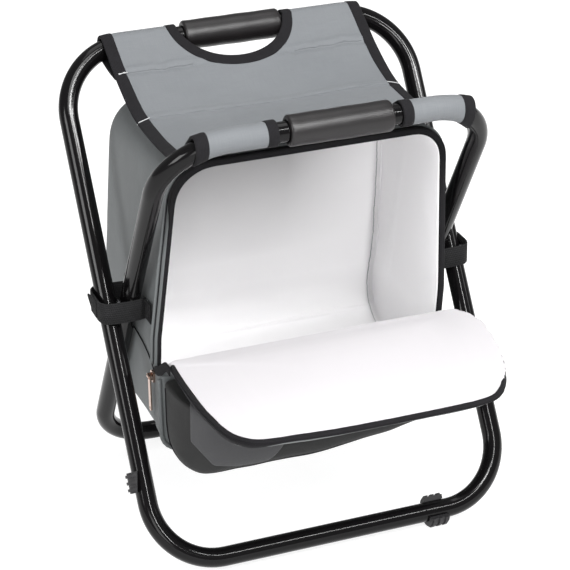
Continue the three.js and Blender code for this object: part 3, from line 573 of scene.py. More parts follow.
def seatRow(a):  # the sheet's line from its rear seam, over the seat, to its front seam
    rearX, frontX = a + seat["rearShift"], a + seat["frontShift"]
    rear = [barRing(outerLoop, rearX, t, seat["wrap"]) for t in rearTurns]
    front = [barRing(innerLoop, frontX, t, seat["wrap"]) for t in frontTurns]
    start = barRing(outerLoop, rearX, seat["rearLeave"], seat["wrap"])
    end = barRing(innerLoop, frontX, seat["frontLeave"], seat["wrap"])
    middle = []
    for share, height in zip(hangShare, hangHeight):
        level = start + (end - start) * share
        flat = hangHeight[0] + (hangHeight[-1] - hangHeight[0]) * share
        middle.append(level + (0, 0, (height - flat) * (1 - seat["sideLift"] * (abs(a) / seat["half"]) ** 2)))
    rearPly, frontPly = underPly(middle[rearSeam], rear[0]), underPly(middle[frontSeam], front[0])
    return rearPly + rear + middle + front[::-1] + frontPly[::-1]


seatColumns = np.concatenate([np.linspace(*part) for part in seat["columns"]])
seatGrid = np.array([seatRow(a) for a in seatColumns])  # columns by rows
rearCount, frontCount = seat["ply"] + len(rearTurns), seat["ply"] + len(frontTurns)
lastRow = seatGrid.shape[1] - 1
middleRows = range(rearCount, lastRow + 1 - frontCount)


def ridge(away, width):
    return math.exp(-(away / width) ** 2)


def puckered(x, y):  # height of the creases along the seams
    lift = 1.2 * drift(x / 70, y / 26, 1.3) + 0.5 * drift(x / 24, y / 12, 4.1)
    rear = seat["rearCrease"] + 2.6 * drift(x / 15, 0, 7) + 1.2 * drift(x / 5, 3, 7)
    lift += 1.5 * ridge(y - rear - 2.6, 1.9) - 1.5 * ridge(y - rear + 1.4, 1.8)
    lift += 0.5 * ridge(y - rear - 7, 5) * drift(x / 9, y / 9, 2)
    middle = seat["middleCrease"] + 1.2 * drift(x / 30, 0, 11)
    return lift + 0.8 * ridge(y - middle - 2, 2.2) - 0.9 * ridge(y - middle + 1.4, 1.8)


def creased(grid):  # calm at the side tapes, at the bars and round the hand cut-outs
    moved, calming = grid.copy(), seat["calm"]
    for i, a in enumerate(seatColumns):
        for j in middleRows:
            x, y, _ = grid[i, j]
            calm = min(1, (seat["half"] - abs(a)) / calming["side"])
            calm *= min(1, (j - rearCount) / calming["rows"], (middleRows[-1] - j) / calming["rows"])
            for cut, bar in ((seat["rear"], outerLoop["bar"]), (seat["front"], innerLoop["bar"])):
                beyond = math.hypot((x - cut["shift"]) / (cut["width"] / 2), (y - bar[1]) / seat["depth"])
                calm *= clamped((beyond - calming["cut"]) / calming["fade"])
            moved[i, j, 2] += puckered(x, y) * calm
    return moved


seatGrid = creased(seatGrid)


def inCut(cut, bar, point, spread):
    across = (point[0] - cut["shift"]) / (cut["width"] / 2 + spread)
    return across ** 2 + ((point[1] - bar[1]) / (seat["depth"] + spread)) ** 2 < 1


def keepCloth():  # the faces outside the hand cut-outs
    margin, kept = seat["cutMargin"], []
    for i in range(len(seatColumns) - 1):
        row = []
        for j in range(lastRow):
            point = seatGrid[i:i + 2, j:j + 2].mean(axis=(0, 1))
            gone = False
            for cut, bar, fromEnd, wrapped in ((seat["rear"], outerLoop["bar"], j, rearCount),
                                               (seat["front"], innerLoop["bar"], lastRow - j, frontCount)):
                aside = fromEnd < wrapped and abs(point[0] - cut["shift"]) < cut["width"] / 2 + margin
                near = fromEnd < wrapped + seat["cutRows"]
                gone = gone or (near and (aside or inCut(cut, bar, point, margin)))
            row.append(not gone)
        kept.append(row)
    return kept


seatCloth = skin("seat_cloth_sheet", seatGrid, "seat", around=False, keep=keepCloth())
withModifier(seatCloth, "SOLIDIFY", thickness=seat["thick"] / 1000, offset=0)
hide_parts("seat_panel", "rear_sleeve_left", "rear_sleeve_right", "front_sleeve_left", "front_sleeve_right")
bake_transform(seatCloth)


# Lookup of the sheet by place, for what is sewn to it
def sheetPoint(column, row):
    i, j = min(max(int(column), 0), len(seatColumns) - 2), min(max(int(row), 0), lastRow - 1)
    u, v = column - i, row - j
    return ((1 - u) * (1 - v) * seatGrid[i, j] + u * (1 - v) * seatGrid[i + 1, j]
            + (1 - u) * v * seatGrid[i, j + 1] + u * v * seatGrid[i + 1, j + 1])


def columnAt(a):
    return float(np.interp(a, seatColumns, np.arange(len(seatColumns))))


def rowAt(column, y):
    i = min(int(column), len(seatColumns) - 2)
    line = (seatGrid[i] + (seatGrid[i + 1] - seatGrid[i]) * (column - i))[middleRows.start:middleRows.stop, 1]
    return float(np.interp(-y, -line, np.array(middleRows, float)))


def sheetNormal(column, row):
    column = min(max(column, 0.6), len(seatColumns) - 1.6)
    lengthways = sheetPoint(column, min(row + 0.5, lastRow)) - sheetPoint(column, max(row - 0.5, 0))
    across = sheetPoint(column + 0.5, row) - sheetPoint(column - 0.5, row)
    return unit(np.cross(across, lengthways)) * -1


def alongSheet(stations, thick, lap=0.8):  # rings of a tape folded over an edge, each from the edge inwards
    rings = []
    for places in stations:
        points = [sheetPoint(*place) for place in places]
        normals = [sheetNormal(*place) for place in places]
        out = unit(points[0] - points[1])
        halves = [thick / 2] * (len(places) - 2) + [thick * 0.46, thick * 0.34]
        ripple = 0.12 * noise.noise(Vector(points[0] / 5))
        over = [p + n * (h + ripple) for p, n, h in zip(points, normals, halves)]
        under = [p - n * (h + ripple) for p, n, h in zip(points, normals, halves)]
        edge = [points[0] + out * lap * reach + normals[0] * thick / 2 * rise
                for reach, rise in ((0.7, -0.7), (1, 0), (0.7, 0.7))]
        rings.append(under[::-1] + edge + over)
    return rings


lapPlaces = (0, 1.2, 3.4, 5.8, 8.2)  # of a tape 9 mm wide
halfRow = 0.5


def sideBand(side, word):
    reaches = [reach * seat["bandWidth"] / 9 for reach in lapPlaces] + [seat["bandWidth"]]
    columns = [columnAt(side * (seat["half"] - reach)) for reach in reaches]
    stations = [[(column, row) for column in columns] for row in np.arange(0, lastRow + 0.01, halfRow)]
    return skin("seat_edge_tape_" + word, alongSheet(stations, seat["bandThick"]), "tape", capped=True)


def cutBand(name, cut, loop, wrapRows, atRear):  # down one side of the bar, round the arc, and back
    shift, half, reaches = cut["shift"], cut["width"] / 2, (*lapPlaces, seat["cutBand"])
    offset = seat["rearShift"] if atRear else seat["frontShift"]
    rows = np.arange(seat["ply"], wrapRows, halfRow)
    rows = rows if atRear else lastRow - rows

    def leg(end):
        columns = [columnAt(shift + end * (half + reach) - offset) for reach in reaches]
        return [[(column, row) for column in columns] for row in rows]

    stations = leg(-1)
    for turn in np.radians(np.linspace(174, 6, 56)):
        inward = unit((math.cos(turn) / half, -loop["way"] * math.sin(turn) / seat["depth"]))
        places = []
        for reach in reaches:
            x = shift + half * math.cos(turn) + inward[0] * reach
            y = loop["bar"][1] - loop["way"] * seat["depth"] * math.sin(turn) + inward[1] * reach
            column = columnAt(x - seat["frontShift"] * (rearY - y) / barSpan)
            places.append((column, rowAt(column, y)))
        stations.append(places)
    return skin(name, alongSheet(stations + leg(1)[::-1], seat["bandThick"]), "tape", capped=True)


def threadOver(name, side, y, slant, rise, reaches=(-1.2, 11.5)):  # one long stitch that crosses the edge tape
    path = []
    for reach in np.linspace(*reaches, 14):
        column = columnAt(side * (seat["half"] - max(reach, 0)))
        row = rowAt(column, y + slant * reach)
        lift = rise if reach > 0 else 0
        outside = (side * -min(reach, 0), 0, 0)
        path.append(sheetPoint(column, row) + sheetNormal(column, row) * lift + outside)
    return sewnLine(name, path, (0, 0, 1), seat["thread"], "thread")


def seamCord(name, y, low, high, radius):  # the fine ridge of a seam across the seat
    path = []
    for a in np.arange(low, high, 1.5):
        if y == seat["rearCrease"]:
            wander = 2.2 * drift(a / 15, 0, 7) + 1.0 * drift(a / 5, 3, 7)
        else:
            wander = 0.8 * drift(a / 30, 0, 11)
        column = columnAt(a)
        row = rowAt(column, y + wander)
        path.append(sheetPoint(column, row) + sheetNormal(column, row) * 0.62)
    return sewnLine(name, path, (0, 0, 1), radius, "seat")


rearBand = cutBand("rear_cutout_tape", seat["rear"], outerLoop, rearCount, True)
frontBand = cutBand("front_cutout_tape", seat["front"], innerLoop, frontCount, False)
leftBand, rightBand = sideBand(-1, "left"), sideBand(1, "right")
# Each stitch: side, place, slant, rise, and how far in it reaches. Each seam: place, from, to, radius.
stitches = (("rear_lock_stitch", -1, 88.5, 0.05, 1.5, (3, 11.5)),
            ("rear_lock_stitch_second", -1, 87.2, 0.25, 1.6, (3.5, 9)),
            ("middle_lock_stitch", -1, 27, 0.25, 1.6), ("right_lock_stitch", 1, 31, 0.1, 1.5))
seams = (("rear_seat_seam", seat["rearCrease"], -117, -52, 0.42),
         ("rear_seat_seam_right", seat["rearCrease"], 47, 116, 0.42),
         ("middle_seat_seam", seat["middleCrease"], -117, 116, 0.36))
threads = [threadOver(*stitch) for stitch in stitches] + [seamCord(*seam) for seam in seams]
for band, node in ((leftBand, "seat_binding_left"), (rightBand, "seat_binding_right"),
                   (rearBand, "rear_cutout_binding"), (frontBand, "front_cutout_binding")):
    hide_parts(node)
for band in (leftBand, rightBand, rearBand, frontBand, *threads):
    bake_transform(band)
print("seat bound")

# Cooler bag
bag = {"half": 141, "topHalf": 127.8, "bottom": -117, "taper": -14, "top": 159, "back": 127, "front": -48.6,
       "tilt": math.tan(math.radians(8.8)), "wall": 4.7, "backEdge": 24, "corner": 34, "leftCorner": 40, "foot": 16,
       "spans": [26, 10, 16, 24, 16, 10], "rumple": (1.3, 55, 3.0), "bulge": 1.5}
bagCorners = [(-bag["half"], bag["bottom"], bag["foot"]), (bag["half"], bag["bottom"], bag["foot"]),
              (bag["half"], bag["taper"], 0), (bag["topHalf"], bag["top"], bag["corner"]),
              (-bag["topHalf"], bag["top"], bag["leftCorner"]), (-bag["half"], bag["taper"], 0)]


def openingY(z):
    return bag["front"] - bag["tilt"] * z


def insetCorners(corners, distance):
    made = []
    for i, (x, z, radius) in enumerate(corners):
        before, after = np.array(corners[i - 1][:2]), np.array(corners[(i + 1) % len(corners)][:2])
        here = np.array((x, z))
        d1, d2 = unit(here - before), unit(after - here)
        n1, n2 = np.array((-d1[1], d1[0])), np.array((-d2[1], d2[0]))
        bisector = unit(n1 + n2)
        moved = here + bisector * distance / max(bisector @ n1, 0.2)
        made.append((moved[0], moved[1], max(radius - distance, 3) if radius else 0))
    return made


def outline(corners, spans, arc=7):  # an even ring of (x, z) points round rounded corners
    count = len(corners)
    arcs = []
    for i, (x, z, radius) in enumerate(corners):
        here = np.array((x, z), float)
        if not radius:
            arcs.append([here])
            continue
        before, after = np.array(corners[i - 1][:2]), np.array(corners[(i + 1) % count][:2])
        d1, d2 = unit(before - here), unit(after - here)
        half = math.acos(np.clip(d1 @ d2, -1, 1)) / 2
        reach = radius / math.tan(half)
        centre = here + unit(d1 + d2) * radius / math.sin(half)
        start, end = here + d1 * reach - centre, here + d2 * reach - centre
        total = math.atan2(start[0] * end[1] - start[1] * end[0], start @ end)
        turned = []
        for t in np.linspace(0, 1, arc):
            a = total * t
            turned.append(centre + (start[0] * math.cos(a) - start[1] * math.sin(a),
                                    start[0] * math.sin(a) + start[1] * math.cos(a)))
        arcs.append(turned)
    ring = []
    for i in range(count):
        ring += arcs[i]
        start, end = arcs[i][-1], arcs[(i + 1) % count][0]
        ring += [start + (end - start) * t for t in np.linspace(0, 1, spans[i] + 1)[1:-1]]
    return np.array(ring)


def ringAt(distance, depthOf):  # round the bag, at a distance inside its cloth
    flat = outline(insetCorners(bagCorners, distance), bag["spans"])
    return np.array([(x, depthOf(z), z) for x, z in flat])


def closing(ring, shares, bulge=0):  # rings that shrink to the middle of a face
    middle = ring.mean(axis=0)
    made = []
    for share in shares:
        row = middle + (ring - middle) * share
        row[:, 1] += bulge * (1 - share ** 2)
        made.append(row)
    return made


def bagRings():  # from the opening to the back edge, round it, and in to the middle of the back
    edge, back = bag["backEdge"], bag["back"]
    rings = [ringAt(0, lambda z, t=t: openingY(z) + (back - edge - openingY(z)) * t) for t in np.linspace(0, 1, 22)]
    for a in np.radians((18, 36, 54, 72, 90)):
        rings.append(ringAt(edge * (1 - math.cos(a)) * 0.999, lambda z, a=a: back - edge * (1 - math.sin(a))))
    rings += closing(rings[-1], (0.9, 0.78, 0.62, 0.45, 0.28, 0.12, 0.02), bag["bulge"])
    return np.array(rings)


def rumpled(rings, amount, size, seed, fixedRows=1):  # pushed in and out along its own normals
    moved = rings.copy()
    lengthways = np.gradient(rings, axis=0)
    around = np.roll(rings, -1, axis=1) - np.roll(rings, 1, axis=1)
    out = unit(np.cross(lengthways, around))
    for i in range(fixedRows, len(rings)):
        for j in range(rings.shape[1]):
            x, y, z = rings[i, j]
            lift = noise.noise(Vector((x / size, y / size, z / size)) + Vector((seed, 0, 0)))
            lift += 0.45 * noise.noise(Vector((x, y, z)) * (2.4 / size) + Vector((0, seed, 0)))
            moved[i, j] += out[i, j] * lift * amount * min(1, i / 3)
    return moved


walls = skin("bag_padded_walls", rumpled(bagRings(), *bag["rumple"]), "bag", capped="end")
rounded(walls, bag["wall"])
carried(walls, "cooler_bag", "bag_cloth", ["bag_outer_shell", "bag_insulation"])
print("bag walls made")

liner = {"inset": 7.4, "backLow": 117.8, "backRise": 0.2698, "thick": 0.8, "turn": 5, "floor": -109.6, "sweep": 48,
         "straight": 26, "lip": [(4.9, 0.2), (5.3, 1.2), (5.9, 4), (6.5, 9), (7.0, 16)], "rumple": (1.7, 62, 8.0, 5),
         "crease": {"wall": 90, "deep": 1.6, "wide": 5, "slant": 0.42, "at": (40, 20),
                    "middle": 10, "half": 110, "fade": 60}}


def linerBack(z):
    return liner["backLow"] - (z - bag["bottom"]) * liner["backRise"]


def swept(x, y, z):  # the floor runs up into the back in one soft sweep
    away = np.array((liner["sweep"] - linerBack(z) + y, liner["sweep"] - z + liner["floor"]))
    if away.min() > 0:
        away *= away.max() / np.linalg.norm(away)
        z = liner["floor"] + liner["sweep"] - away[1]
        y = linerBack(z) - liner["sweep"] + away[0]
    return x, y, z


def linerRings():
    inset, turn, straight = liner["inset"], liner["turn"], liner["straight"]
    rings = [ringAt(lip, lambda z, depth=depth: openingY(z) + depth) for lip, depth in liner["lip"]]
    for t in np.linspace(0, 1, 30):
        rings.append(ringAt(inset, lambda z, t=t: openingY(z) + straight
                            + (linerBack(z) - turn - straight - openingY(z)) * t))
    for a in np.radians((25, 50, 72, 90)):
        rings.append(ringAt(inset + turn * (1 - math.cos(a)), lambda z, a=a: linerBack(z) - turn * (1 - math.sin(a))))
    rings += closing(rings[-1], (*np.arange(0.97, 0.5, -0.035), 0.4, 0.27, 0.14, 0.02), -1.5)
    return np.array([[swept(*place) for place in ring] for ring in rings])


linerShape, crease = rumpled(linerRings(), *liner["rumple"]), liner["crease"]
for ring in linerShape:  # a slanted crease across the right wall
    for point in ring:
        if point[0] > crease["wall"]:
            away = point[1] - (crease["at"][0] - crease["slant"] * (point[2] - crease["at"][1]))
            fading = clamped((crease["half"] - abs(point[2] - crease["middle"])) / crease["fade"])
            point[0] -= crease["deep"] * ridge(away, crease["wide"]) * fading
inside = skin("bag_welded_lining", linerShape, "lining", capped="end")
rounded(inside, liner["thick"])
carried(inside, "cooler_bag", "lining", ["bag_lining"])

weld = {"section": [(-4.2, -0.9), (-3.8, 0.4), (-2.7, 1.5), (-1.7, 0.4), (-0.4, 0.1), (0.5, 0.3), (1.5, 1.8),
                    (2.7, 0.4), (3.0, -0.9)], "groove": 0.5}


def weldedSeam(side, word):  # two low beads down a back corner of the lining and along its floor
    path = []
    places = [(linerBack(liner["floor"]) - reach, liner["floor"]) for reach in (48, 36, 24, 12)]
    places += [(linerBack(z), z) for z in np.linspace(liner["floor"], bag["top"] - 24, 70)]
    for y, z in places:
        lean = max(0, z - bag["taper"]) / (bag["top"] - bag["taper"])
        x = bag["half"] + (bag["topHalf"] - bag["half"]) * lean - liner["inset"] - 1.9
        pucker = 0.5 * drift(0, side, z / 4) + 0.8 * drift(3, side, z / 26)
        _, y, z = swept(0, y, z)
        path.append((side * (x - 0.8 + pucker), y - 2.4 - pucker * 0.5, z + 0.9))
    name, facingIn = "lining_corner_weld_" + word, (-side * 0.7, -0.7, 0.0)
    carried(ribbon(name, path, facingIn, weld["section"], "lining"), "cooler_bag", "lining")
    groove = np.array(path) + (-side * 3.1, -0.6, 0)
    carried(sewnLine(name + "_groove", groove, facingIn, weld["groove"], "thread"), "cooler_bag")


weldedSeam(-1, "left")
weldedSeam(1, "right")
print("lining welded")


def arch(distance, lowest, depthOf):  # from the right foot over the top to the left foot
    flat = outline(insetCorners(bagCorners, distance), bag["spans"])
    start = next(i for i, (x, z) in enumerate(flat) if x > 0 and z > lowest)
    kept = [tuple(p) for p in np.roll(flat, -start, axis=0) if p[1] > lowest]
    points = [(kept[0][0], lowest)] + kept + [(kept[-1][0], lowest)]
    return np.array([(x, depthOf(z), z) for x, z in points])


def outOfRing(path):
    ahead = np.roll(path, -1, axis=0) - np.roll(path, 1, axis=0)
    ahead[0], ahead[-1] = path[1] - path[0], path[-1] - path[-2]
    return unit(np.cross((0, 1, 0), ahead))


zipper = {"hinge": -44, "pipe": 1.5, "pipeBack": 7.5, "tooth": (1.5, 0.9, 0.8), "bevel": 0.22, "pitch": 2.1,
          "toothIn": 4.9, "tape": [(-0.7, -3.4), (-0.7, 0.9), (-0.1, 1.5), (3.8, 1.5), (4.9, 1.1), (5.1, 0.2),
                                   (4.9, -1.6), (0.3, -0.2), (0.2, -3.4)]}
facing = unit((0, -1, -bag["tilt"]))
rim = smoothPath(arch(0, zipper["hinge"] + 0.5, openingY), 3)
rimRings = []
for place, outward in zip(rim, outOfRing(rim)):  # narrower down the left side
    narrow = clamped((-90 - place[0]) / 25) * clamped((130 - place[2]) / 30)
    rimRings.append([place - outward * (max(a, a * 0.3 + 1.9) * narrow + a * (1 - narrow)) + facing * o
                     for a, o in zipper["tape"]])
rimTape = skin("opening_zipper_tape", rimRings, "tape", capped=True)
carried(rimTape, "cooler_bag", "tape", ["body_zipper_tape"])


def toothRow(name, path, out, inward, reach, body):  # the zipper's teeth, each a bevelled block, set along a path
    bpy.ops.mesh.primitive_cube_add(size=1)
    tooth = bpy.context.object
    shaped(tooth, (bpy.ops.mesh.bevel, {"offset": zipper["bevel"], "segments": 1}))
    corners = vertexPlaces(tooth.data) * zipper["tooth"]
    sides = [tuple(face.vertices) for face in tooth.data.polygons]
    bpy.data.objects.remove(tooth)
    run = np.concatenate(([0], np.cumsum(np.linalg.norm(np.diff(path, axis=0), axis=1))))
    places = np.arange(zipper["pitch"], run[-1], zipper["pitch"])
    spread = [np.array([np.interp(places, run, np.broadcast_to(part, path.shape)[:, k]) for k in range(3)]).T
              for part in (path, out, inward)]
    points, faces = [], []
    for place, face, way in zip(*spread):
        face, way = unit(face), unit(way)
        along = np.cross(face, way)
        start = len(points)
        points += [place + way * (reach + a) + along * b + face * (1.5 + c) for a, b, c in corners]
        faces += [tuple(start + k for k in side) for side in sides]
    row = meshPiece(name, settle(points), faces, "tape")
    row.data.shade_flat()
    carried(row, body)


toothRow("opening_zipper_teeth", rim, facing, -outOfRing(rim), zipper["toothIn"] - 0.9, "cooler_bag")
for name, outset, forward, radius, sides, finish, replaced in (
        ("opening_piping", 1.3, 0, zipper["pipe"], 12, "bag", ("bag_cloth", ["edge_piping"])),
        ("opening_piping_stitches", 0.15, 2.6, 0.45, 6, "tape", ())):
    path = smoothPath(arch(-outset, zipper["hinge"], lambda z: openingY(z) + zipper["pipeBack"] - forward), 4)
    carried(sewnLine(name, path, facing, radius, finish, sides, outOfRing(path)), "cooler_bag", *replaced)
print("opening trimmed")

# Lower front: a block below the opening, and a full pocket on it
front = {"hingeY": -64.25, "top": -44.3, "spans": [30, 12, 30, 12], "blockRumple": (0.4, 40, 2.0, 5),
         "pocketRumple": (1.6, 42, 5.0, 5), "lift": 17, "inner": (0.02, 0.3, 0.6, 0.9)}


def frontRing(side, drop, fall, depth, corner=16):  # drawn in at the sides, sagging below, and lowered at the top
    half = bag["half"] - side
    corners = [(-half, bag["bottom"] - drop, corner), (half, bag["bottom"] - drop, corner),
               (half, front["top"] - fall, 3), (-half, front["top"] - fall, 3)]
    return np.array([(x, depth, z) for x, z in outline(corners, front["spans"])])


def rightLift(rings):  # the foot of the pocket rises towards the right
    for ring in rings:
        away = np.clip((ring[:, 0] + 10) / 130, 0, 1)
        ring[:, 2] += front["lift"] * away ** 1.3 * np.clip((-78 - ring[:, 2]) / 40, 0, 1)
    return rings


# Each place: in from the side, down at the foot, down at the top, and the depth
blockPlaces = [(0, 0.5, 0, -41), (-2, 1, 0, -46), (-2.2, 2, 0, -52), (-2.6, 3, 0, -57), (-2.2, 3, 0, -61),
               (-0.5, 1, 0, -64)]
panelRings = [frontRing(*place) for place in blockPlaces]
for ring in panelRings:  # follow the tilt of the opening
    ring[:, 1] -= bag["tilt"] * (ring[:, 2] - front["top"]) * np.clip((ring[:, 1] + 64) / 23, 0, 1)
panelRings = closing(panelRings[0], front["inner"]) + panelRings + closing(panelRings[-1], front["inner"][::-1])
panelRings = rumpled(np.array(rightLift(panelRings)), *front["blockRumple"])
panel = skin("lower_front_block", panelRings, "bag", capped=True)
rounded(panel)
carried(panel, "cooler_bag", "bag_cloth", ["lower_front_panel"])

# The same for the pocket, with the depth ahead of the block
pocketPlaces = [(0.5, 0, 2.7, 0.4), (-0.6, 3, 3, 7), (-1.2, 6, 3, 17), (-0.6, 7.5, 3.2, 29), (1.2, 7, 4, 39),
                (3.4, 6, 5, 46), (6.5, 4, 7, 51), (10.5, 1.5, 10, 55), (15.5, -2.5, 14, 58.3), (21.5, -7.5, 19, 60.4),
                (28.5, -13.5, 25, 61)]
rings = [frontRing(side, drop, fall, front["hingeY"] - depth, 20) for side, drop, fall, depth in pocketPlaces]
rings = closing(rings[0], front["inner"]) + rings + closing(rings[-1], (0.85, 0.68, 0.5, 0.3, 0.12, 0.02), 2.5)
# its dark cloth is painted shade from the lid above
pocket = skin("full_front_pocket", rumpled(np.array(rightLift(rings)), *front["pocketRumple"]), "pocket", capped=True)
rounded(pocket)
carried(pocket, "cooler_bag", "bag_cloth", ["front_pocket"])
pocketFace = BVHTree.FromObject(pocket, bpy.context.evaluated_depsgraph_get())


def layOn(x, z, lift):  # a place on the pocket's front
    hit, normal, _, _ = pocketFace.ray_cast(Vector(settle((x, -300, z))), Vector((0, 1, 0)))
    return unsettle(hit + normal * lift / 1000)


patch = {"outline": [(-133.5, -50, 2), (-134, -84, 6), (-117, -107.5, 8), (-96, -113, 14), (-64, -114.5, 16),
                     (-50, -100, 10), (-48, -50, 2)], "spans": [12, 10, 8, 10, 8, 14, 20], "arc": 5,
         "rise": [(0.985, 0.05), (1.0, 0.5), (1.0, 1.3), (0.985, 1.9), (0.95, 2.3), (0.8, 2.7), (0.6, 3.0),
                  (0.4, 3.1), (0.2, 3.1), (0.02, 3.1)]}
patchRim = outline(patch["outline"], patch["spans"], patch["arc"])
patchMiddle = patchRim.mean(axis=0)
patchRings = []
for share, lift in patch["rise"]:
    places = patchMiddle + (patchRim - patchMiddle) * share
    patchRings.append([layOn(x, z, lift + 0.5 * drift(x / 22, z / 22, 6) * (1 - share ** 8)) for x, z in places])
patchPiece = skin("patch_pocket_cloth", patchRings, "patch", capped=True)
carried(patchPiece, "cooler_bag", "bag_cloth", ["patch_pocket"])

pocketSeam = {"route": [(143, -71, -52), (143, -71, -75), (142, -74, -98), (138, -84, -112), (130, -97, -121),
                        (118, -108, -123), (95, -113, -122), (50, -115, -122), (0, -116, -122)], "radius": 0.75}
for side, word in ((-1, "left"), (1, "right")):  # drawn onto the pocket's skin
    route = []
    for point in smoothPath([(side * x, y, z) for x, y, z in pocketSeam["route"]], 3):
        hit, normal, _, _ = pocketFace.find_nearest(Vector(settle(point)))
        route.append(unsettle(hit + normal * 0.3 / 1000))
    seam = sewnLine("pocket_seam_" + word, route, (0.0, -0.3, 1.0), pocketSeam["radius"], "tape")
    carried(seam, "cooler_bag")
lowerRing = rightLift([frontRing(-3.2, 3.6, 0, -61.5, 18)])[0]
lowerRing = lowerRing[lowerRing[:, 2] < -47]
lowerPath = smoothPath(lowerRing[np.argsort(np.arctan2(lowerRing[:, 0], -(lowerRing[:, 2] + 40)))], 4)
lowerPipe = sewnLine("lower_piping_cord", lowerPath, (0, -1, 0), 2.0, "bag", 12, outOfRing(lowerPath))
carried(lowerPipe, "cooler_bag", "bag_cloth", ["lower_piping"])
print("front pockets made")

# Lid: a padded flap, open and level. The crown is (share of the way to the edge, rise)
lid = {"rim": -26, "depth": 17.5, "cornerAt": (135, -67.5, 0), "middle": (0, -160, 0), "whiteFrom": 1.2,
       "whiteOnRight": {"across": 0.06, "back": -0.147, "lower": 0.0022},
       "edge": [(-138, -68), (-60, -66.5), (40, -66.5), (135, -67.5), (147, -74), (154.5, -87), (156.5, -104),
                (155, -121), (151.5, -141), (146.5, -161), (140, -182), (131, -202.5), (120.5, -222), (111, -235),
                (99, -244.5), (81, -248.5), (45, -249.6), (6, -249.7), (-25, -249), (-56.5, -247.6), (-90, -244),
                (-117, -239.6), (-129, -230), (-135.7, -220), (-139.3, -205), (-141, -190), (-143, -166),
                (-143.4, -146), (-143, -125), (-141.6, -103), (-139.6, -80)],
       "crown": [(0.99, 0), (0.97, 0.1), (0.94, 0.3), (0.9, 0.8), (0.86, 1.5), (0.81, 2.6), (0.73, 4.2), (0.63, 5.5),
                 (0.5, 6.4), (0.35, 6.9), (0.2, 7), (0.08, 7), (0.02, 7)]}
lidEdge = smoothPath([(x, y, 0) for x, y in lid["edge"]], 6, closed=True)
lidMiddle = np.array(lid["middle"])


def lidRing(share, height):
    ring = lidMiddle + (lidEdge - lidMiddle) * share
    ring[:, 2] = height
    return ring


lidInward = unit(lidMiddle - lidEdge)
lidFacing = unit(np.cross(np.roll(lidEdge, -1, axis=0) - np.roll(lidEdge, 1, axis=0), (0, 0, 1)))
lidFacing *= -np.sign((lidFacing * lidInward).sum(axis=1, keepdims=True))
undercut = 0.9 + 3.2 * np.clip(-lidFacing[:, 1:2], 0, 1) ** 1.5 - 0.6 * np.clip(lidFacing[:, 1:2], 0, 1)


def underRing(drop, share=1.0):  # the underside runs in steeply at the sides and flatly at the free edge
    ring = lidEdge + lidInward * undercut * max(0, drop - 4)
    ring = lidMiddle + (ring - lidMiddle) * share
    ring[:, 2] = lid["rim"] - drop
    return ring


lidRings = [underRing(lid["depth"], share) for share in (0.02, 0.2, 0.4, 0.6, 0.8, 0.92)]
lidRings += [underRing(drop) for drop in (16.8, 14.5, 12, 9.5, 7.5, 5.8, 4.4, 2)] + [lidRing(1, lid["rim"])]
lidRings += [lidRing(share, lid["rim"] + rise) for share, rise in lid["crown"]]
pad = skin("lid_pad", lidRings, "bag", capped=True)

puff = {"voxel": 0.004, "pressure": 3.5, "frames": 20, "cap": 0.002, "swell": 0.0012}


def inflate(piece):  # cloth under pressure, in which no point moves further than the cap
    withModifier(piece, "REMESH", mode="VOXEL", voxel_size=puff["voxel"])
    before = vertexPlaces(piece.data)
    cloth = piece.modifiers.new("Cloth", "CLOTH")
    cloth.settings.use_pressure = True
    cloth.settings.uniform_pressure_force = puff["pressure"]
    cloth.settings.quality = 4
    cloth.settings.effector_weights.gravity = 0
    scene.frame_start, scene.frame_end = 1, puff["frames"]
    for step in range(1, puff["frames"] + 1):
        scene.frame_set(step)
    moved = vertexPlaces(piece.evaluated_get(bpy.context.evaluated_depsgraph_get()).data) - before
    piece.modifiers.remove(cloth)
    scene.frame_set(1)
    length = np.linalg.norm(moved, axis=1, keepdims=True)
    moved *= np.minimum(1, puff["cap"] / np.maximum(length, 1e-9))
    piece.data.vertices.foreach_set("co", (before + moved).astype(np.float32).ravel())
    piece.data.update()


def fromMiddle(points):  # the angle and the distance of each point, seen from the lid's middle
    away = np.asarray(points) - lidMiddle
    return np.arctan2(*away[:, 1::-1].T), np.linalg.norm(away[:, :2], axis=1)


inflate(pad)
withModifier(pad, "SMOOTH", factor=0.5, iterations=3)
withModifier(pad, "DISPLACE", strength=puff["swell"], mid_level=0)
rounded(pad)
spots = unsettle(vertexPlaces(pad.data))
edgeAngles, edgeReaches = fromMiddle(lidEdge)
order = np.argsort(edgeAngles)
angles, reaches = fromMiddle(spots)
reachAt = np.interp(angles, edgeAngles[order], edgeReaches[order], period=2 * math.pi)
crownAt = np.interp(-reaches / reachAt, [-share for share, _ in lid["crown"]], [rise for _, rise in lid["crown"]])
spots[:, 2] = np.minimum(spots[:, 2], lid["rim"] + crownAt)  # the top stays under the bag's rim when the flap shuts
pad.data.vertices.foreach_set("co", settle(spots).astype(np.float32).ravel())
pad.data.materials.clear()
for key in ("bag", "lidLining"):
    pad.data.materials.append(materials[key])
rimHeight, onRight = settle((0, 0, lid["rim"] - lid["whiteFrom"]))[2], lid["whiteOnRight"]
for face in pad.data.polygons:  # the white lining reaches lower on the right
    right = face.center.x > onRight["across"] and face.center.y > onRight["back"]
    face.material_index = 1 if face.center.z > rimHeight - (onRight["lower"] if right else 0) else 0
pad.data.shade_smooth()
carried(pad, "lid", "lining", ["lid_shell", "lid_padding", "lid_lining"])
print("lid padded")

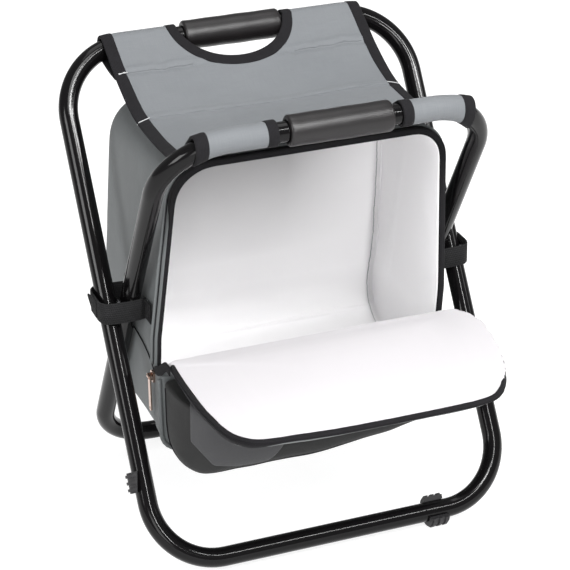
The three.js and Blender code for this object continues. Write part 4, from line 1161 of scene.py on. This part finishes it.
# Its zipper tape, laid on the pad's side as that came out
padFace = BVHTree.FromObject(pad, bpy.context.evaluated_depsgraph_get())
cornerIndex = int(np.argmin(np.linalg.norm(lidEdge - lid["cornerAt"], axis=1)))
rimRoute = lidEdge[cornerIndex:-1]
rimAhead = np.gradient(rimRoute, axis=0)
rimOut = unit(np.cross(rimAhead, (0, 0, 1)))
rimOut = rimOut * np.sign((rimOut * (rimRoute - lidMiddle)).sum(axis=1, keepdims=True))


def padReach(place, out, height, start=40):  # how far out the pad's side lies at a height
    origin = place + out * start + (0, 0, height)
    hit, _, _, distance = padFace.ray_cast(Vector(settle(origin)), Vector(-out))
    return start - distance * 1000 if hit is not None else 0.0


lidBand = {"drop": 3.5, "leftDrop": 5.5, "frontLess": 2.2, "smooth": 9, "steepest": 1.8, "teethFrom": -228,
           "tuckFrom": -228, "tuckOver": 30, "tuckIn": 1.1, "tuckDown": 3.4}


def tapeDrop(x, y):  # how far the tape reaches down from the rim: most on the left side
    leftDrop = lidBand["leftDrop"] - lidBand["frontLess"] * clamped((-150 - y) / 90)
    return lidBand["drop"] + clamped((-95 - x) / 30) * leftDrop


lows = np.array([padReach(p, o, lid["rim"] - tapeDrop(*p[:2]) + 0.5) for p, o in zip(rimRoute, rimOut)])
highs = np.array([padReach(p, o, lid["rim"] - 1.0) for p, o in zip(rimRoute, rimOut)])
kernel = np.ones(lidBand["smooth"]) / lidBand["smooth"]
lows, highs = (np.convolve(np.pad(row, lidBand["smooth"] // 2, "edge"), kernel, "valid") for row in (lows, highs))
lows = np.maximum(lows, highs - lidBand["steepest"])
tapeRings = []
for place, out, low, high in zip(rimRoute, rimOut, lows, highs):
    drop = tapeDrop(*place[:2])
    ripple = 0.25 * noise.noise(Vector(place / 14))
    section = [(low - 0.5, -drop), (low + 1.1, -drop - 0.3), ((low + high) / 2 + 2.4 + ripple, -drop / 2),
               (high + 2.0, -0.8), (high + 1.1, 0.6), (high - 0.3, 1.0), (high - 1.6, 0.7), (high - 1.7, -0.2),
               (high - 0.5, -0.9)]
    if place[0] > 60:  # tucked under the rim on the right
        tuck = clamped((place[1] - lidBand["tuckFrom"]) / lidBand["tuckOver"])
        section = [(a - lidBand["tuckIn"] * tuck, b - lidBand["tuckDown"] * tuck) for a, b in section]
    tapeRings.append([place + out * a + (0, 0, lid["rim"] + b + ripple) for a, b in section])
lidTape = skin("lid_zipper_tape_cloth", tapeRings, "tape", capped=True)
carried(lidTape, "lid", "tape", ["lid_zipper_tape"])
teethRoute = np.array([p + o * (h + 1.2) + (0, 0, lid["rim"] - 2.2) for p, o, h in zip(rimRoute, rimOut, highs)])
firstTooth = int(np.argmax(rimRoute[:, 1] < lidBand["teethFrom"]))
toothRow("lid_zipper_teeth", teethRoute[firstTooth:], rimOut[firstTooth:], (0, 0, -1), 0.0, "lid")

# The tape's slack at the left end, from the bag's rim up to the lid's
slack = {"start": (-141.6, -42.5, -44), "end": (-141.4, -80, -26), "drop": 4.2,
         "route": [(-141.6, -42.5, -46), (-142.6, -48, -41), (-143.6, -56, -37.2), (-143.4, -64, -33),
                   (-142.4, -70.5, -27.6), (-141.6, -76, -24.6), (-141.4, -84, -25.6)],
         "section": [(-4.6, -0.5), (-4.6, 0.4), (-2, 0.7), (2, 0.7), (4.2, 0.5), (4.6, 0), (4.2, -0.6), (0, -0.7),
                     (-3, -0.7)]}
slackPath = smoothPath(slack["route"], 2.5) - (0, 0, slack["drop"])
slackTape = ribbon("zipper_tape_slack", slackPath, (-1, 0, 0), slack["section"], "tape")
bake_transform(slackTape)

# Straps round the crossings
strap = {"width": 20, "thick": 1.5, "out": 182.3, "corner": 9, "left": {"half": 20.6, "rise": 5},
         "right": {"half": 17.7, "rise": 0}, "patchHalf": 9.5, "patchEdge": 0.5, "stitch": 1.7, "stitchPitch": 2.6}


def webLoop(side, word, half, rise):
    out, inner, corner = strap["out"], bag["half"] - 0.5, strap["corner"]
    bend = corner * 0.3
    run = [(inner, half - 2), (inner + 12, half), (out - corner, half), (out - bend, half - bend), (out, half - corner)]
    flat = run + [(out, 0)] + [(x, -y) for x, y in run[::-1]]
    path = smoothPath([(side * x, y, rise) for x, y in flat], 3)
    for i, place in enumerate(path):
        path[i] = place + (0, 0, 0.8 * math.sin(i * 0.13))
    piece = ribbon(word + "_web_loop", path, (0, 0, 1), flatSection(strap["thick"], strap["width"], 0.5), "webbing")
    carried(piece, "cooler_bag", "webbing", ["side_strap_" + word])


webLoop(-1, "left", **strap["left"])
webLoop(1, "right", **strap["right"])


def webPatch(name, side, y, rise, reach):  # the strap's end, folded and box-stitched to the bag's side
    x, low, high = bag["half"] + 0.9, rise - strap["patchHalf"], rise + strap["patchHalf"]
    path = [(side * x, y + reach * t, low + (high - low) * 0.5) for t in np.linspace(0, 1, 8)]
    carried(ribbon(name, path, (0, 0, 1), flatSection(1.4, high - low, 0.4), "webbing"), "cooler_bag")
    near, far = y + 2 * np.sign(reach), y + reach - 2 * np.sign(reach)
    box = [(near, low + 2.5), (far, low + 2.5), (far, high - 2.5), (near, high - 2.5)]
    points, faces = [], []
    for (y1, z1), (y2, z2) in [*zip(box, box[1:] + box[:1]), (box[0], box[2]), (box[1], box[3])]:
        run = math.hypot(y2 - y1, z2 - z1)
        ahead = np.array((0, (y2 - y1) / run, (z2 - z1) / run))
        aside, long = np.array((0, -ahead[2], ahead[1])) * 0.3, ahead * strap["stitch"]
        for k in np.arange(0, run - 1.6, strap["stitchPitch"]):
            base = np.array((side * (x + 0.75), y1, z1)) + ahead * k
            start = len(points)
            points += [base - aside, base + aside, base + long + aside, base + long - aside]
            points += [p + (side * 0.35, 0, 0) for p in points[-4:]]
            faces += [(start, start + 1, start + 2, start + 3), (start + 7, start + 6, start + 5, start + 4)]
            faces += [(start + a, start + b, start + b + 4, start + a + 4) for a, b in ((0, 1), (1, 2), (2, 3), (3, 0))]
    carried(meshPiece(name + "_stitches", settle(points), faces, "tape"), "cooler_bag")


for side, word in ((-1, "left"), (1, "right")):
    half, rise = strap[word]["half"] + strap["patchEdge"], strap[word]["rise"]
    webPatch("strap_end_front_" + word, side, -half, rise, -15)
    webPatch("strap_end_back_" + word, side, half, rise, 17)
tail = {"route": [(-183.6, -8, 6), (-184, -3, 7), (-184.6, 2, 8.8), (-185.2, 6, 11), (-185.8, 9.5, 13.6)], "width": 8.6}
tailPath = smoothPath(tail["route"], 2)
tailWidths = [tail["width"] * min(1, 0.12 + 0.88 * (1 - i / (len(tailPath) - 1)) * 1.9) for i in range(len(tailPath))]
tailRings = [[p + (0.6, 0, -w), p + (-0.6, 0, -w), p + (-0.6, 0, w * 0.9), p + (0.6, 0, w * 0.9)]
             for p, w in zip(tailPath, tailWidths)]
carried(skin("left_strap_tail", tailRings, "webbing", capped=True), "cooler_bag")
sideSeam = [(-141.9, 30, -29), (-142, 10, -31), (-142, -12, -35), (-142, -28, -41), (-142, -38, -48)]
carried(sewnLine("bag_side_stitches", smoothPath(sideSeam, 3), (0, 0, 1), 0.6, "tape"), "cooler_bag")
print("straps looped")

# Floor and studio light
bpy.ops.mesh.primitive_plane_add(size=30, location=(0, 0, 0))
floor = bpy.context.object
floor.name = "paleFloor"
ground = Finish("palePaper", Roughness=0.9, Specular_IOR_Level=0.1, Emission_Color=(1, 1, 1, 1),
                Emission_Strength=0.84)
mottled = ground.mix(ground.speckle(ground.place(), 3.0), paint(158, 158, 158, 1), paint(162, 162, 162, 1))
floor.data.materials.append(ground.set(Base_Color=mottled))

# Each lamp: place, width and length, power, and the way its length lies.
# Two are strips that draw the long highlights down the legs and along the bars.
studio = {"legs": ((0.17, -1.78, 1.7), (0.09, 1.5), 34, (0, 0.534, 0.846)),
          "bars": ((0.8, -1.5, 1.95), (0.08, 1.9), 34, (1, 0, 0)),
          "over": ((-0.3, -1.5, 2.9), (1.2, 1.2), 40, (1, 0, 0)),
          "left": ((-2.6, -0.9, 1.4), (1.1, 1.1), 34, (0, 1, 0)),
          "front": ((-1.2, -2.6, 0.8), (1.0, 1.0), 13, (1, 0, 0)),
          "right": ((2.4, -1.2, 1.7), (0.9, 0.9), 12, (0, 1, 0)),
          "top": ((0.2, 0.5, 3.0), (1.8, 1.8), 22, (1, 0, 0))}
lampAim, worldStrength = Vector((-0.05, 0, 0.2)), 0.32
for name, (spot, (width, length), power, lengthways) in studio.items():
    lamp = bpy.data.objects.new(name + "Light", bpy.data.lights.new(name + "Light", "AREA"))
    lamp.data.shape, lamp.data.size, lamp.data.size_y, lamp.data.energy = "RECTANGLE", width, length, power
    scene.collection.objects.link(lamp)
    away = (Vector(spot) - lampAim).normalized()
    side = Vector(lengthways).cross(away).normalized()
    lamp.matrix_world = Matrix((side, away.cross(side), away)).transposed().to_4x4()
    lamp.location = spot
scene.world = bpy.data.worlds.new("paleRoom")
scene.world.use_nodes = True
backdrop = scene.world.node_tree.nodes["Background"].inputs
backdrop["Color"].default_value, backdrop["Strength"].default_value = (1, 1, 1, 1), worldStrength
scene.view_settings.view_transform = "Standard"
print("studio lit")
